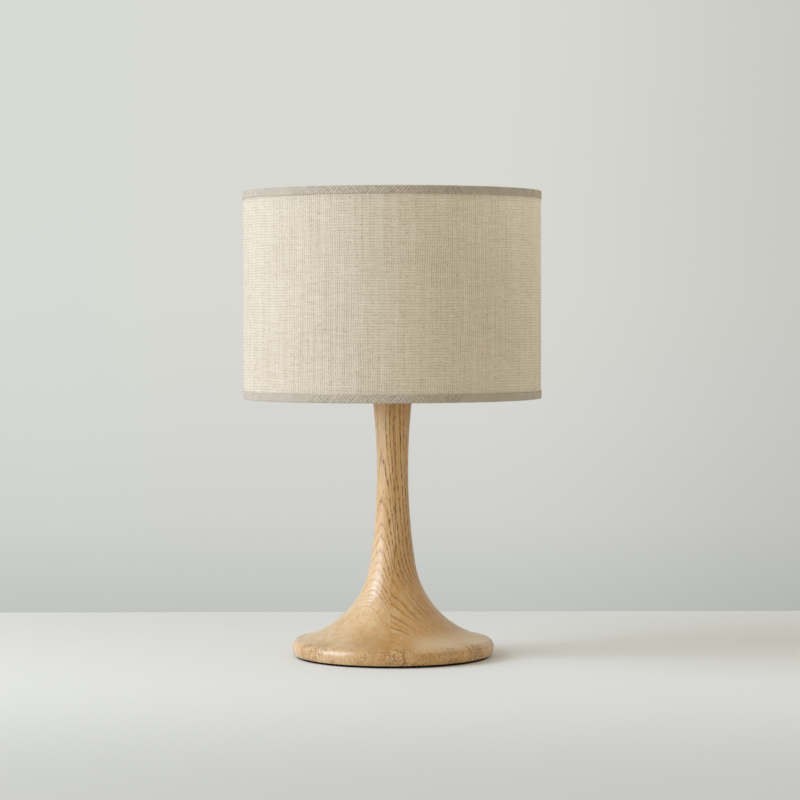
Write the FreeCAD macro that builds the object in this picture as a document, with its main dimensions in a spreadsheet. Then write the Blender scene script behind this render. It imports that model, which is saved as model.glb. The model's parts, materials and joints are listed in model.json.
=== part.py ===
"""Column table lamp: a turned wooden base and column, a lampholder with two shade rings, a bulb and a
linen drum shade. Millimetres, +Z up, origin at the centre of the face that the lamp stands on."""

import FreeCAD
import Part
import Sketcher
import math
import os
import re

from FreeCAD import Placement, Rotation, Vector

# ---------------------------------------------------------------------------------------------------
# Driving dimensions. Each one is a cell of the spreadsheet, named by its alias.
# ---------------------------------------------------------------------------------------------------

SIZES = {
    # turned base and column
    "pad_radius": 97.5,
    "pad_thickness": 2.5,
    "base_radius": 102.0,
    "nose_height": 10.3,
    "nose_radius": 7.9,
    "foot_radius": 13.9,
    "flare_radius": 92.0,
    "neck_radius": 15.8,
    "neck_height": 187.6,
    "neck_sweep": 631.0,
    "column_height": 266.0,
    "column_edge": 1.5,
    "recess_radius": 32.0,
    "recess_depth": 14.0,
    "seat_pocket_radius": 10.5,
    "seat_pocket_depth": 6.0,
    # cord inlet at the back of the base
    "inlet_bore_radius": 3.2,
    "inlet_wall": 1.2,
    "inlet_length": 14.0,
    "inlet_flange_width": 1.5,
    "inlet_flange_thickness": 1.8,
    "inlet_setback": 3.5,
    "inlet_height": 10.3,
    # threaded tube and its fasteners
    "tube_radius": 5.0,
    "tube_bore_radius": 3.75,
    "tube_tail": 3.5,
    "tube_grip": 9.0,
    "nut_across_flats": 14.0,
    "nut_thickness": 5.0,
    "locknut_thickness": 4.0,
    "plate_washer_radius": 20.0,
    "plate_washer_thickness": 2.0,
    "small_washer_radius": 9.5,
    "small_washer_thickness": 1.0,
    "seat_disc_radius": 18.5,
    "seat_disc_thickness": 2.5,
    "seat_disc_bevel": 0.6,
    # lampholder
    "cap_radius": 22.5,
    "cap_wall": 2.0,
    "cap_height": 28.0,
    "cap_dome": 11.0,
    "boss_radius": 11.0,
    "boss_height": 6.0,
    "grub_radius": 1.5,
    "grub_length": 5.0,
    "grub_key_across": 1.5,
    "skirt_root_radius": 18.9,
    "skirt_wall": 1.9,
    "skirt_height": 40.0,
    "skirt_flange": 2.0,
    "skirt_thread_crest": 0.7,
    "skirt_thread_pitch": 2.5,
    "insert_wall": 2.4,
    "insert_floor": 10.0,
    "insert_height": 37.0,
    "shell_height": 23.0,
    "contact_width": 5.0,
    "contact_sheet": 0.5,
    "contact_rise": 2.5,
    "contact_foot": 9.0,
    "terminal_length": 7.0,
    "terminal_width": 5.0,
    "terminal_height": 6.0,
    "terminal_offset": 12.0,
    "terminal_screw_radius": 1.4,
    "terminal_screw_head": 2.2,
    "terminal_head_height": 1.2,
    # push-bar switch
    "bar_width": 5.0,
    "bar_depth": 6.0,
    "bar_length": 62.0,
    "bar_travel": 6.0,
    "bar_height": 20.0,
    "bar_end_round": 1.6,
    "bar_notch_depth": 4.0,
    "lever_arm": 10.5,
    "lever_tip_radius": 1.3,
    "lever_tip_depth": 2.5,
    "lever_hub_radius": 2.2,
    "lever_web": 1.6,
    "lever_width": 4.0,
    "lever_pin_radius": 1.0,
    "lever_pin_length": 11.0,
    # shade rings
    "ring_height": 8.0,
    "ring_radius": 28.5,
    "ring_hub_wall": 3.0,
    "ring_flange": 3.0,
    "ring_stand_off": 0.5,
    "ring_flute_radius": 1.4,
    # bulb
    "bulb_thread_pitch": 3.629,
    "bulb_thread_ridge": 1.0,
    "bulb_thread_start": 8.5,
    "bulb_thread_length": 11.5,
    "bulb_core_radius": 12.15,
    "bulb_cap_length": 26.5,
    "bulb_cap_wall": 0.4,
    "bulb_collar_radius": 13.3,
    "bulb_collar_start": 22.5,
    "bulb_tip_radius": 4.8,
    "bulb_tip_height": 1.3,
    "bulb_glazing_height": 4.5,
    "bulb_glass_wall": 0.8,
    "bulb_neck_radius": 12.5,
    "bulb_neck_top": 29.0,
    "bulb_globe_radius": 30.0,
    "bulb_length": 108.0,
    "stem_radius": 9.0,
    "stem_top": 46.0,
    "filament_radius": 0.9,
    "filament_length": 34.0,
    "filament_spread": 7.0,
    "lead_radius": 0.35,
    # shade
    "shade_radius": 150.0,
    "shade_height": 208.0,
    "shade_bottom": 260.6,
    "linen_thickness": 0.7,
    "liner_thickness": 0.4,
    "trim_width": 8.0,
    "trim_inner_width": 7.0,
    "trim_thickness": 0.7,
    "ring_wire_radius": 1.7,
    "spoke_radius": 1.9,
    "spoke_bend": 9.0,
    "spoke_level": 12.0,
    "fitter_radius": 31.5,
    "fitter_thickness": 2.0,
    "weld_depth": 1.5,
    # fits
    "thread_clearance": 0.25,
    "hole_clearance": 0.4,
    "press_gap": 0.05,
    "slide_clearance": 0.25,
    "pivot_clearance": 0.06,
    "lamination_gap": 0.02,
    "seat_gap": 0.1,
}

SPOKE_ANGLES = (90.0, 210.0, 330.0)
FILAMENT_ANGLES = (45.0, 135.0, 225.0, 315.0)
RING_FLUTE_COUNT = 30
NUT_SIDE_COUNT = 6

# ---------------------------------------------------------------------------------------------------
# Levels and radii that several pieces share, written from the sizes above.
# ---------------------------------------------------------------------------------------------------

RECESS_ROOF = "(pad_thickness + recess_depth)"
PLATE_WASHER_BASE = f"({RECESS_ROOF} - plate_washer_thickness)"
NUT_BASE = f"({PLATE_WASHER_BASE} - nut_thickness)"
TUBE_BOTTOM = f"({NUT_BASE} - tube_tail)"
TUBE_HOLE = "(tube_radius + press_gap)"
WOOD_BORE = "(tube_radius + hole_clearance)"
POCKET_FLOOR = "(column_height - seat_pocket_depth)"
HOLDER_SEAT = "(column_height + seat_disc_thickness)"
TUBE_TOP = f"({HOLDER_SEAT} + tube_grip)"
GRUB_LEVEL = f"({HOLDER_SEAT} + boss_height / 2)"
CAP_TOP = f"({HOLDER_SEAT} + cap_height)"
CAP_BORE = "(cap_radius - cap_wall)"
BAR_AXIS = f"({HOLDER_SEAT} + bar_height)"
BAR_BASE = f"({BAR_AXIS} - bar_depth / 2)"
BAR_TOP = f"({BAR_AXIS} + bar_depth / 2)"
LEVER_TIP = f"({BAR_TOP} - lever_tip_depth)"
LEVER_PIVOT = f"({LEVER_TIP} + lever_arm)"
LEVER_POCKET_ROOF = f"({LEVER_PIVOT} + lever_hub_radius + hole_clearance)"
SKIRT_BORE = "(skirt_root_radius - skirt_wall)"
SKIRT_TOP = f"({CAP_TOP} + skirt_height)"
SKIRT_THREAD_BASE = f"({CAP_TOP} + skirt_flange)"
SKIRT_CREST = "(skirt_root_radius + skirt_thread_crest)"
RING_BORE = f"({SKIRT_CREST} + thread_clearance / 2)"
LOWER_RING_BASE = f"({SKIRT_THREAD_BASE} + ring_stand_off)"
FITTER_BASE = f"({LOWER_RING_BASE} + ring_height + seat_gap)"
UPPER_RING_BASE = f"({FITTER_BASE} + fitter_thickness + seat_gap)"
FITTER_BORE = f"({SKIRT_CREST} + hole_clearance)"
INSERT_RADIUS = f"({SKIRT_BORE} - press_gap)"
SOCKET_FLOOR = f"({CAP_TOP} + insert_floor)"
SHELL_RADIUS = f"({INSERT_RADIUS} - insert_wall - press_gap)"
SHELL_BORE = "(bulb_core_radius + thread_clearance + press_gap)"
BULB_BASE = f"({SOCKET_FLOOR} + contact_rise + seat_gap)"
BULB_THREAD_BASE = f"({BULB_BASE} + bulb_thread_start)"
BULB_CAP_TOP = f"({BULB_BASE} + bulb_cap_length)"
NECK_TOP = f"({BULB_BASE} + bulb_neck_top)"
GLOBE_CENTRE = f"({BULB_BASE} + bulb_length - bulb_globe_radius)"
GLASS_BASE = f"({BULB_BASE} + bulb_collar_start + press_gap)"
SHADE_TOP = "(shade_bottom + shade_height)"
LINEN_BASE = "(shade_bottom + trim_thickness)"
LINEN_TOP = f"({SHADE_TOP} - trim_thickness)"
LINER_RADIUS = "(shade_radius - linen_thickness - lamination_gap)"
LINER_BORE = f"({LINER_RADIUS} - liner_thickness)"
WIRE_RING_RADIUS = f"({LINER_BORE} - lamination_gap - ring_wire_radius)"
TRIM_BORE = f"({WIRE_RING_RADIUS} - ring_wire_radius - lamination_gap - trim_thickness)"
BOTTOM_WIRE = f"({LINEN_BASE} + lamination_gap + ring_wire_radius)"
TOP_WIRE = f"({LINEN_TOP} - lamination_gap - ring_wire_radius)"
INLET_SLEEVE = "(inlet_bore_radius + inlet_wall)"
CORD_HOLE = f"({INLET_SLEEVE} + press_gap)"
INLET_FLANGE = f"({INLET_SLEEVE} + inlet_flange_width)"
INLET_SEAT = "(base_radius - inlet_setback)"

# an upright piece laid down with its top to the front, or to the back
LAID_TO_FRONT = Rotation(Vector(1, 0, 0), 90)
LAID_TO_BACK = Rotation(Vector(1, 0, 0), -90)

doc = FreeCAD.newDocument("column_table_lamp")
sheet = doc.addObject("Spreadsheet::Sheet", "Sizes")


def fill_sheet():
    """One row for each driving dimension: its name, and its value in a cell with that alias."""
    for row, (alias, millimetres) in enumerate(SIZES.items(), start=1):
        sheet.set(f"A{row}", alias)
        sheet.set(f"B{row}", str(millimetres))
        sheet.setAlias(f"B{row}", alias)
    doc.recompute()


def cells(text):
    """The expression with each size's name pointing at its cell."""

    def point(word):
        name = word.group()
        return f"Sizes.{name}" if name in SIZES else name

    return re.sub(r"[a-z_]+", point, str(text))


def value(text):
    """What an expression of sizes comes to now, in millimetres."""
    return float(sheet.evalExpression(cells(text)))


def bind(feature, **properties):
    """Sets each property of a feature to an expression of sizes."""
    for name, text in properties.items():
        feature.setExpression(name.replace("__", "."), cells(text))


# ---------------------------------------------------------------------------------------------------
# Shared ways of making a piece.
# ---------------------------------------------------------------------------------------------------


def new_body(label):
    body = doc.addObject("PartDesign::Body", label)
    body.Label = label
    return body


def sketch_on(body, name, role="XZ_Plane", out=None):
    """A sketch on one of the body's own planes, moved out along the plane's normal where that is given."""
    sketch = body.newObject("Sketcher::SketchObject", name)
    plane = next(feature for feature in body.Origin.OriginFeatures if feature.Role == role)
    sketch.AttachmentSupport = (plane, [""])
    sketch.MapMode = "FlatFace"
    if out is not None:
        bind(sketch, AttachmentOffset__Base__z=out)
    return sketch


def hold(sketch, kind, *where, size=None):
    """Adds a constraint, and ties it to an expression of sizes where it has one."""
    if size is None:
        return sketch.addConstraint(Sketcher.Constraint(kind, *where))
    index = sketch.addConstraint(Sketcher.Constraint(kind, *where, value(size)))
    sketch.setExpression(f"Constraints[{index}]", cells(size))
    return index


def hold_point(sketch, edge, end, across, up):
    """Fixes one end of an edge at a distance across and up from the sketch's origin."""
    for kind, axis, size in (("DistanceX", -2, across), ("DistanceY", -1, up)):
        if size == "0":
            hold(sketch, "PointOnObject", edge, end, axis)
        else:
            hold(sketch, kind, -1, 1, edge, end, size=size)


def outline(body, name, corners, role="XZ_Plane", out=None):
    """A closed outline of straight edges through corners given as (across, up) expressions."""
    sketch = sketch_on(body, name, role, out)
    points = [Vector(value(across), value(up), 0) for across, up in corners]
    count = len(points)
    for i in range(count):
        sketch.addGeometry(Part.LineSegment(points[i], points[(i + 1) % count]), False)
    for i, (across, up) in enumerate(corners):
        hold(sketch, "Coincident", i, 2, (i + 1) % count, 1)
        hold_point(sketch, i, 1, across, up)
    return sketch


def disc(body, name, centre_across, centre_up, radius, role="XZ_Plane", out=None):
    """A sketch of one circle."""
    sketch = sketch_on(body, name, role, out)
    centre = Vector(value(centre_across), value(centre_up), 0)
    sketch.addGeometry(Part.Circle(centre, Vector(0, 0, 1), value(radius)), False)
    hold(sketch, "Radius", 0, size=radius)
    hold_point(sketch, 0, 3, centre_across, centre_up)
    return sketch


def turn(body, sketch, kind="Revolution"):
    """Turns a sketch about the upright axis, as added material or, as a Groove, as a cut."""
    feature = body.newObject(f"PartDesign::{kind}", f"{sketch.Name}_turned")
    feature.Profile = sketch
    feature.ReferenceAxis = (sketch, ["V_Axis"])
    feature.Angle = 360
    doc.recompute()
    return feature


def extrude(body, sketch, length, kind="Pad", both_ways=True, reverse=False):
    """Pads or pockets a sketch by a length, evenly on both sides of its plane or to one side."""
    feature = body.newObject(f"PartDesign::{kind}", f"{sketch.Name}_{kind.lower()}")
    feature.Profile = sketch
    feature.Midplane = both_ways
    feature.Reversed = reverse
    bind(feature, Length=length)
    doc.recompute()
    return feature


def thread(body, sketch, pitch, height, kind="AdditiveHelix"):
    """Winds a tooth, or a cut, up the upright axis as a right-hand thread."""
    feature = body.newObject(f"PartDesign::{kind}", f"{sketch.Name}_wound")
    feature.Profile = sketch
    feature.ReferenceAxis = (sketch, ["V_Axis"])
    feature.Mode = "pitch-height-angle"
    bind(feature, Pitch=pitch, Height=height)
    doc.recompute()
    return feature


def turned(label, corners):
    """A piece that is one outline turned about the upright axis."""
    body = new_body(label)
    turn(body, outline(body, f"{label}_outline", corners))
    return body


def section(inner, outer, base, top):
    """The corners of a rectangle between two radii and two levels."""
    return [(inner, base), (outer, base), (outer, top), (inner, top)]


def washer(label, bore, radius, base, top):
    """A plain ring of rectangular section."""
    return turned(label, section(bore, radius, base, top))


def round_rims(body, rims, radius):
    """Rounds the circular edges at the given (radius, height) places."""
    tip = body.Tip
    places = [(value(across), value(up)) for across, up in rims]
    names = []
    for number, edge in enumerate(tip.Shape.Edges, start=1):
        curve = edge.Curve
        if not isinstance(curve, Part.Circle) or abs(abs(curve.Axis.z) - 1) > 1e-6:
            continue
        if any(math.hypot(curve.Radius - across, curve.Center.z - up) < 1e-4 for across, up in places):
            names.append(f"Edge{number}")
    fillet = body.newObject("PartDesign::Fillet", f"{tip.Name}_rounded")
    fillet.Base = (tip, names)
    bind(fillet, Radius=radius)
    doc.recompute()
    return fillet


def cylinder(name, radius, height):
    shape = doc.addObject("Part::Cylinder", name)
    bind(shape, Radius=radius, Height=height)
    return shape


def cut(label, base, tool):
    """One shape less another, as the finished piece."""
    piece = doc.addObject("Part::Cut", label)
    piece.Base = base
    piece.Tool = tool
    piece.Label = label
    return piece


def hexagon(name, across_flats, height):
    prism = doc.addObject("Part::Prism", name)
    prism.Polygon = NUT_SIDE_COUNT
    bind(prism, Circumradius=f"{across_flats} / (2 * cos(180 deg / {NUT_SIDE_COUNT}))", Height=height)
    return prism


def place(feature, across="0", along="0", up="0", rotation=None):
    """Puts a piece where expressions of sizes say, turned by a fixed rotation."""
    feature.Placement = Placement(Vector(), rotation or Rotation())
    bind(feature, Placement__Base__x=across, Placement__Base__y=along, Placement__Base__z=up)
    return feature


def hex_nut(label, base, thickness):
    """A hexagon nut on the threaded tube."""
    bore = place(cylinder(f"{label}_bore", TUBE_HOLE, f"{thickness} * 3"), up=f"-{thickness}")
    return place(cut(label, hexagon(f"{label}_prism", "nut_across_flats", thickness), bore), up=base)


# ---------------------------------------------------------------------------------------------------
# Turned base and column.
# ---------------------------------------------------------------------------------------------------


def on_circle(centre, radius, angle):
    return centre + Vector(math.cos(angle), math.sin(angle), 0) * radius


def arc_between(centre, radius, first, last):
    circle = Part.Circle(centre, Vector(0, 0, 1), radius)
    return Part.ArcOfCircle(circle, first, last)


def direction(start, end):
    return math.atan2(end.y - start.y, end.x - start.x) % (2 * math.pi)


def column_outline(body):
    """Half the turned shape: foot, nose, flare and neck are arcs, each tangent to the next."""
    sketch = sketch_on(body, "column_outline")
    base, nose_up = value("base_radius"), value("nose_height")
    foot, nose, flare = value("foot_radius"), value("nose_radius"), value("flare_radius")
    neck, neck_up, sweep = value("neck_radius"), value("neck_height"), value("neck_sweep")
    bottom, top = value("pad_thickness"), value("column_height")
    foot_centre, nose_centre = Vector(base - foot, nose_up, 0), Vector(base - nose, nose_up, 0)
    neck_centre = Vector(neck + sweep, neck_up, 0)
    # the flare's centre lies a flare plus a nose from the nose's centre, and inside the neck's circle
    between = neck_centre - nose_centre
    span = between.Length
    near, far = flare + nose, sweep - flare
    along = (near**2 - far**2 + span**2) / (2 * span)
    aside = math.sqrt(near**2 - along**2)
    unit = between / span
    flare_centre = nose_centre + unit * along + Vector(-unit.y, unit.x, 0) * aside
    if flare_centre.y < nose_centre.y:
        flare_centre = nose_centre + unit * along - Vector(-unit.y, unit.x, 0) * aside
    to_nose = direction(flare_centre, nose_centre)
    to_neck = direction(neck_centre, flare_centre)
    foot_start = -math.asin((nose_up - bottom) / foot)
    neck_start = math.pi - math.asin((top - neck_up) / sweep)
    foot_corner = on_circle(foot_centre, foot, foot_start)
    top_corner = on_circle(neck_centre, sweep, neck_start)
    geometry = [
        Part.LineSegment(Vector(0, bottom, 0), foot_corner),
        arc_between(foot_centre, foot, foot_start, 0),
        arc_between(nose_centre, nose, 0, direction(nose_centre, flare_centre)),
        arc_between(flare_centre, flare, to_neck, to_nose),
        arc_between(neck_centre, sweep, neck_start, to_neck),
        Part.LineSegment(top_corner, Vector(0, top, 0)),
        Part.LineSegment(Vector(0, top, 0), Vector(0, bottom, 0)),
    ]
    sketch.addGeometry(geometry, False)
    under, foot_arc, nose_arc, flare_arc, neck_arc, over, axis = range(len(geometry))
    start, end, centre = 1, 2, 3
    hold(sketch, "Coincident", under, end, foot_arc, start)
    hold(sketch, "Tangent", foot_arc, end, nose_arc, start)
    hold(sketch, "Tangent", nose_arc, end, flare_arc, end)
    hold(sketch, "Tangent", flare_arc, start, neck_arc, end)
    hold(sketch, "Coincident", neck_arc, start, over, start)
    hold(sketch, "Coincident", over, end, axis, start)
    hold(sketch, "Coincident", axis, end, under, start)
    hold(sketch, "Horizontal", under)
    hold(sketch, "Horizontal", over)
    hold_point(sketch, under, start, "0", "pad_thickness")
    hold_point(sketch, over, end, "0", "column_height")
    hold_point(sketch, foot_arc, end, "base_radius", "nose_height")
    hold_point(sketch, neck_arc, centre, "neck_radius + neck_sweep", "neck_height")
    hold(sketch, "DistanceY", -1, 1, foot_arc, centre, size="nose_height")
    for edge, size in ((foot_arc, "foot_radius"), (nose_arc, "nose_radius"), (flare_arc, "flare_radius")):
        hold(sketch, "Radius", edge, size=size)
    hold(sketch, "Radius", neck_arc, size="neck_sweep")
    return sketch


def make_turned_body():
    """The wooden base and column in one piece, bored for the tube and drilled at the back for the cord."""
    body = new_body("turned_body")
    turn(body, column_outline(body))
    top_radius = "neck_radius + neck_sweep - sqrt(neck_sweep ^ 2 - (column_height - neck_height) ^ 2)"
    round_rims(body, [(top_radius, "column_height")], "column_edge")
    clear = "pad_thickness"
    bore = [
        ("0", f"pad_thickness - {clear}"),
        ("recess_radius", f"pad_thickness - {clear}"),
        ("recess_radius", RECESS_ROOF),
        (WOOD_BORE, RECESS_ROOF),
        (WOOD_BORE, POCKET_FLOOR),
        ("seat_pocket_radius", POCKET_FLOOR),
        ("seat_pocket_radius", f"column_height + {clear}"),
        ("0", f"column_height + {clear}"),
    ]
    turn(body, outline(body, "bore_outline", bore), "Groove")
    hole = disc(body, "cord_hole", "0", "inlet_height", CORD_HOLE)
    extrude(body, hole, "base_radius + inlet_length", "Pocket", both_ways=False)
    seat_radius = f"{INLET_FLANGE} + press_gap"
    seat = disc(body, "inlet_seat", "0", "inlet_height", seat_radius, out=f"-{INLET_SEAT}")
    extrude(body, seat, "inlet_setback + inlet_length", "Pocket", both_ways=False)
    return body


def make_base_pad():
    """The felt disc that the lamp stands on."""
    return turned("base_pad", section("0", "pad_radius", "0", "pad_thickness"))


def make_cord_inlet():
    """A flanged bush that lines the cord hole. Its flange faces the back."""
    flange_back = "inlet_flange_thickness"
    corners = [
        ("inlet_bore_radius", "0"),
        (INLET_FLANGE, "0"),
        (INLET_FLANGE, flange_back),
        (INLET_SLEEVE, flange_back),
        (INLET_SLEEVE, f"{flange_back} + inlet_length"),
        ("inlet_bore_radius", f"{flange_back} + inlet_length"),
    ]
    bush = turned("cord_inlet_bush", corners)
    round_rims(bush, [(INLET_FLANGE, "0"), ("inlet_bore_radius", "0")], "inlet_wall / 3")
    return place(bush, along=f"{INLET_SEAT} + {flange_back}", up="inlet_height", rotation=LAID_TO_FRONT)


# ---------------------------------------------------------------------------------------------------
# Threaded tube and its fasteners.
# ---------------------------------------------------------------------------------------------------


def make_tube_and_fasteners():
    pocket_washer_top = f"({POCKET_FLOOR} + small_washer_thickness)"
    disc_base = "column_height"
    bevel = "seat_disc_bevel"
    seat_disc = [
        (TUBE_HOLE, disc_base),
        ("seat_disc_radius", disc_base),
        ("seat_disc_radius", f"{HOLDER_SEAT} - {bevel}"),
        (f"seat_disc_radius - {bevel}", HOLDER_SEAT),
        (TUBE_HOLE, HOLDER_SEAT),
    ]
    return [
        washer("threaded_tube", "tube_bore_radius", "tube_radius", TUBE_BOTTOM, TUBE_TOP),
        washer("plate_washer", TUBE_HOLE, "plate_washer_radius", PLATE_WASHER_BASE, RECESS_ROOF),
        hex_nut("base_nut", NUT_BASE, "nut_thickness"),
        washer("small_washer", TUBE_HOLE, "small_washer_radius", POCKET_FLOOR, pocket_washer_top),
        hex_nut("locknut", pocket_washer_top, "locknut_thickness"),
        turned("seat_disc", seat_disc),
    ]


# ---------------------------------------------------------------------------------------------------
# Lampholder.
# ---------------------------------------------------------------------------------------------------


def make_holder_cap():
    """The domed lower cover, slotted across for the push bar and drilled for the grub screw."""
    body = new_body("holder_cap")
    dome_base = f"({HOLDER_SEAT} + boss_height)"
    floor = f"({dome_base} + cap_wall)"
    inner_boss = "(boss_radius - cap_wall)"
    corners = [
        (TUBE_HOLE, HOLDER_SEAT),
        ("boss_radius", HOLDER_SEAT),
        ("boss_radius", dome_base),
        ("cap_radius", dome_base),
        ("cap_radius", CAP_TOP),
        (CAP_BORE, CAP_TOP),
        (CAP_BORE, floor),
        (inner_boss, floor),
        (inner_boss, TUBE_TOP),
        (TUBE_HOLE, TUBE_TOP),
    ]
    turn(body, outline(body, "cap_outline", corners))
    round_rims(body, [("cap_radius", dome_base)], "cap_dome")
    round_rims(body, [(CAP_BORE, floor)], "cap_dome - cap_wall")
    half_width, half_depth = "(bar_width / 2 + slide_clearance)", "(bar_depth / 2 + slide_clearance)"
    slot = [
        (f"-{half_width}", f"{BAR_AXIS} - {half_depth}"),
        (half_width, f"{BAR_AXIS} - {half_depth}"),
        (half_width, f"{BAR_AXIS} + {half_depth}"),
        (f"-{half_width}", f"{BAR_AXIS} + {half_depth}"),
    ]
    extrude(body, outline(body, "bar_slot", slot, role="YZ_Plane"), "cap_radius * 3", "Pocket")
    grub_hole = disc(body, "grub_hole", "0", GRUB_LEVEL, "grub_radius + press_gap")
    extrude(body, grub_hole, "boss_radius * 2", "Pocket", both_ways=False)
    return body


def make_grub_screw():
    """A socket screw in the boss's side that stops the holder turning on its tube."""
    key_depth = "grub_length / 2"
    key = place(hexagon("grub_key", "grub_key_across", key_depth), up=f"grub_length - {key_depth}")
    screw = cut("grub_screw", cylinder("grub_shank", "grub_radius", "grub_length"), key)
    return place(screw, along=TUBE_HOLE, up=GRUB_LEVEL, rotation=LAID_TO_BACK)


def tooth(body, name, root, level, sink):
    """The shade thread's tooth: it reaches out from the root, and its foot is sunk into the wall."""
    foot, crest = f"{root} - {sink}", f"{root} + skirt_thread_crest"
    wide, narrow = "skirt_thread_pitch / 4", "skirt_thread_pitch / 12"
    corners = [
        (foot, f"{level} - {wide}"),
        (crest, f"{level} - {narrow}"),
        (crest, f"{level} + {narrow}"),
        (foot, f"{level} + {wide}"),
    ]
    return outline(body, name, corners)


SKIRT_THREAD_START = f"({SKIRT_THREAD_BASE} + skirt_thread_pitch / 2)"


def make_holder_skirt():
    """The upper sleeve. Its outside is threaded for the two shade rings."""
    body = new_body("holder_skirt")
    corners = [
        (SKIRT_BORE, CAP_TOP),
        ("cap_radius", CAP_TOP),
        ("cap_radius", SKIRT_THREAD_BASE),
        ("skirt_root_radius", SKIRT_THREAD_BASE),
        ("skirt_root_radius", SKIRT_TOP),
        (SKIRT_BORE, SKIRT_TOP),
    ]
    turn(body, outline(body, "skirt_outline", corners))
    ridge = tooth(body, "skirt_tooth", "skirt_root_radius", SKIRT_THREAD_START, "skirt_wall / 4")
    wound = f"{SKIRT_TOP} - {SKIRT_THREAD_START} - 2 * skirt_thread_pitch"
    thread(body, ridge, "skirt_thread_pitch", wound)
    return body


def make_shade_ring(label, base, flange_on_top):
    """A threaded ring with a fluted rim. Its flange is on the side that holds the shade."""
    body = new_body(label)
    hub = f"({SKIRT_CREST} + ring_hub_wall)"
    top = f"({base} + ring_height)"
    waist = f"({top} - ring_flange)" if flange_on_top else f"({base} + ring_flange)"
    lower, upper = (hub, "ring_radius") if flange_on_top else ("ring_radius", hub)
    corners = [
        (RING_BORE, base),
        (lower, base),
        (lower, waist),
        (upper, waist),
        (upper, top),
        (RING_BORE, top),
    ]
    turn(body, outline(body, f"{label}_outline", corners))
    flute_at = "ring_radius + ring_flute_radius / 2"
    flute = disc(body, f"{label}_flute", flute_at, "0", "ring_flute_radius", "XY_Plane", base)
    first = extrude(body, flute, "ring_height", "Pocket", both_ways=False, reverse=True)
    flutes = body.newObject("PartDesign::PolarPattern", f"{label}_flutes")
    flutes.Originals = [first]
    upright = next(feature for feature in body.Origin.OriginFeatures if feature.Role == "Z_Axis")
    flutes.Axis = (upright, [""])
    flutes.Angle = 360
    flutes.Occurrences = RING_FLUTE_COUNT
    body.Tip = flutes
    doc.recompute()
    start = f"({base} - skirt_thread_pitch)"
    groove = tooth(body, f"{label}_groove", RING_BORE, start, "skirt_thread_crest")
    thread(body, groove, "skirt_thread_pitch", "ring_height + 2 * skirt_thread_pitch", "SubtractiveHelix")
    return body


def make_holder_insert():
    """The porcelain cup that holds the screw shell, with a pocket beneath for the switch lever."""
    body = new_body("holder_insert")
    bore = f"({INSERT_RADIUS} - insert_wall)"
    top = f"({CAP_TOP} + insert_height)"
    corners = [
        ("0", CAP_TOP),
        (INSERT_RADIUS, CAP_TOP),
        (INSERT_RADIUS, top),
        (bore, top),
        (bore, SOCKET_FLOOR),
        ("0", SOCKET_FLOOR),
    ]
    turn(body, outline(body, "insert_outline", corners))
    half_room = "(lever_hub_radius + lever_arm / 3)"
    pocket = [
        (f"-{half_room}", f"{CAP_TOP} - insert_wall"),
        (half_room, f"{CAP_TOP} - insert_wall"),
        (half_room, LEVER_POCKET_ROOF),
        (f"-{half_room}", LEVER_POCKET_ROOF),
    ]
    extrude(body, outline(body, "lever_pocket", pocket), "lever_width + 2 * slide_clearance", "Pocket")
    pin_hole = disc(body, "pin_hole", "0", LEVER_PIVOT, "lever_pin_radius + press_gap")
    extrude(body, pin_hole, "lever_pin_length + 2 * press_gap", "Pocket")
    return body


def make_screw_shell():
    """The brass sleeve that the bulb screws into."""
    body = new_body("screw_shell")
    base = f"({SOCKET_FLOOR} + contact_sheet + press_gap)"
    top = f"({base} + shell_height)"
    turn(body, outline(body, "shell_outline", section(SHELL_BORE, SHELL_RADIUS, base, top)))
    sketch = sketch_on(body, "shell_groove")
    groove_radius = "bulb_thread_ridge + thread_clearance"
    half_round(sketch, SHELL_BORE, BULB_THREAD_BASE, groove_radius, "thread_clearance")
    wound = f"{top} - {BULB_THREAD_BASE} + bulb_thread_pitch"
    thread(body, sketch, "bulb_thread_pitch", wound, "SubtractiveHelix")
    return body


def half_round(sketch, root, up, radius, sink):
    """A rounded thread section whose centre is sunk below the root, closed by a straight back."""
    centre = Vector(value(f"{root} - {sink}"), value(up), 0)
    size = value(radius)
    sketch.addGeometry(arc_between(centre, size, -math.pi / 2, math.pi / 2), False)
    sketch.addGeometry(Part.LineSegment(centre + Vector(0, size, 0), centre - Vector(0, size, 0)), False)
    hold(sketch, "Coincident", 0, 2, 1, 1)
    hold(sketch, "Coincident", 0, 1, 1, 2)
    hold(sketch, "Vertical", 1)
    hold(sketch, "Radius", 0, size=radius)
    hold_point(sketch, 0, 3, f"{root} - {sink}", up)
    hold(sketch, "PointOnObject", 0, 3, 1)


def make_centre_contact():
    """The sprung brass strip under the bulb's tip."""
    body = new_body("centre_contact")
    floor, crest = SOCKET_FLOOR, f"({SOCKET_FLOOR} + contact_rise)"
    tip = "(bulb_tip_radius)"
    corners = [
        ("-contact_foot", floor),
        (f"-{tip}", floor),
        (f"-{tip} / 2", f"{crest} - contact_sheet"),
        (tip, f"{crest} - contact_sheet"),
        (tip, crest),
        (f"-{tip} / 2", crest),
        (f"-{tip}", f"{floor} + contact_sheet"),
        ("-contact_foot", f"{floor} + contact_sheet"),
    ]
    extrude(body, outline(body, "contact_outline", corners), "contact_width")
    return body


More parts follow.
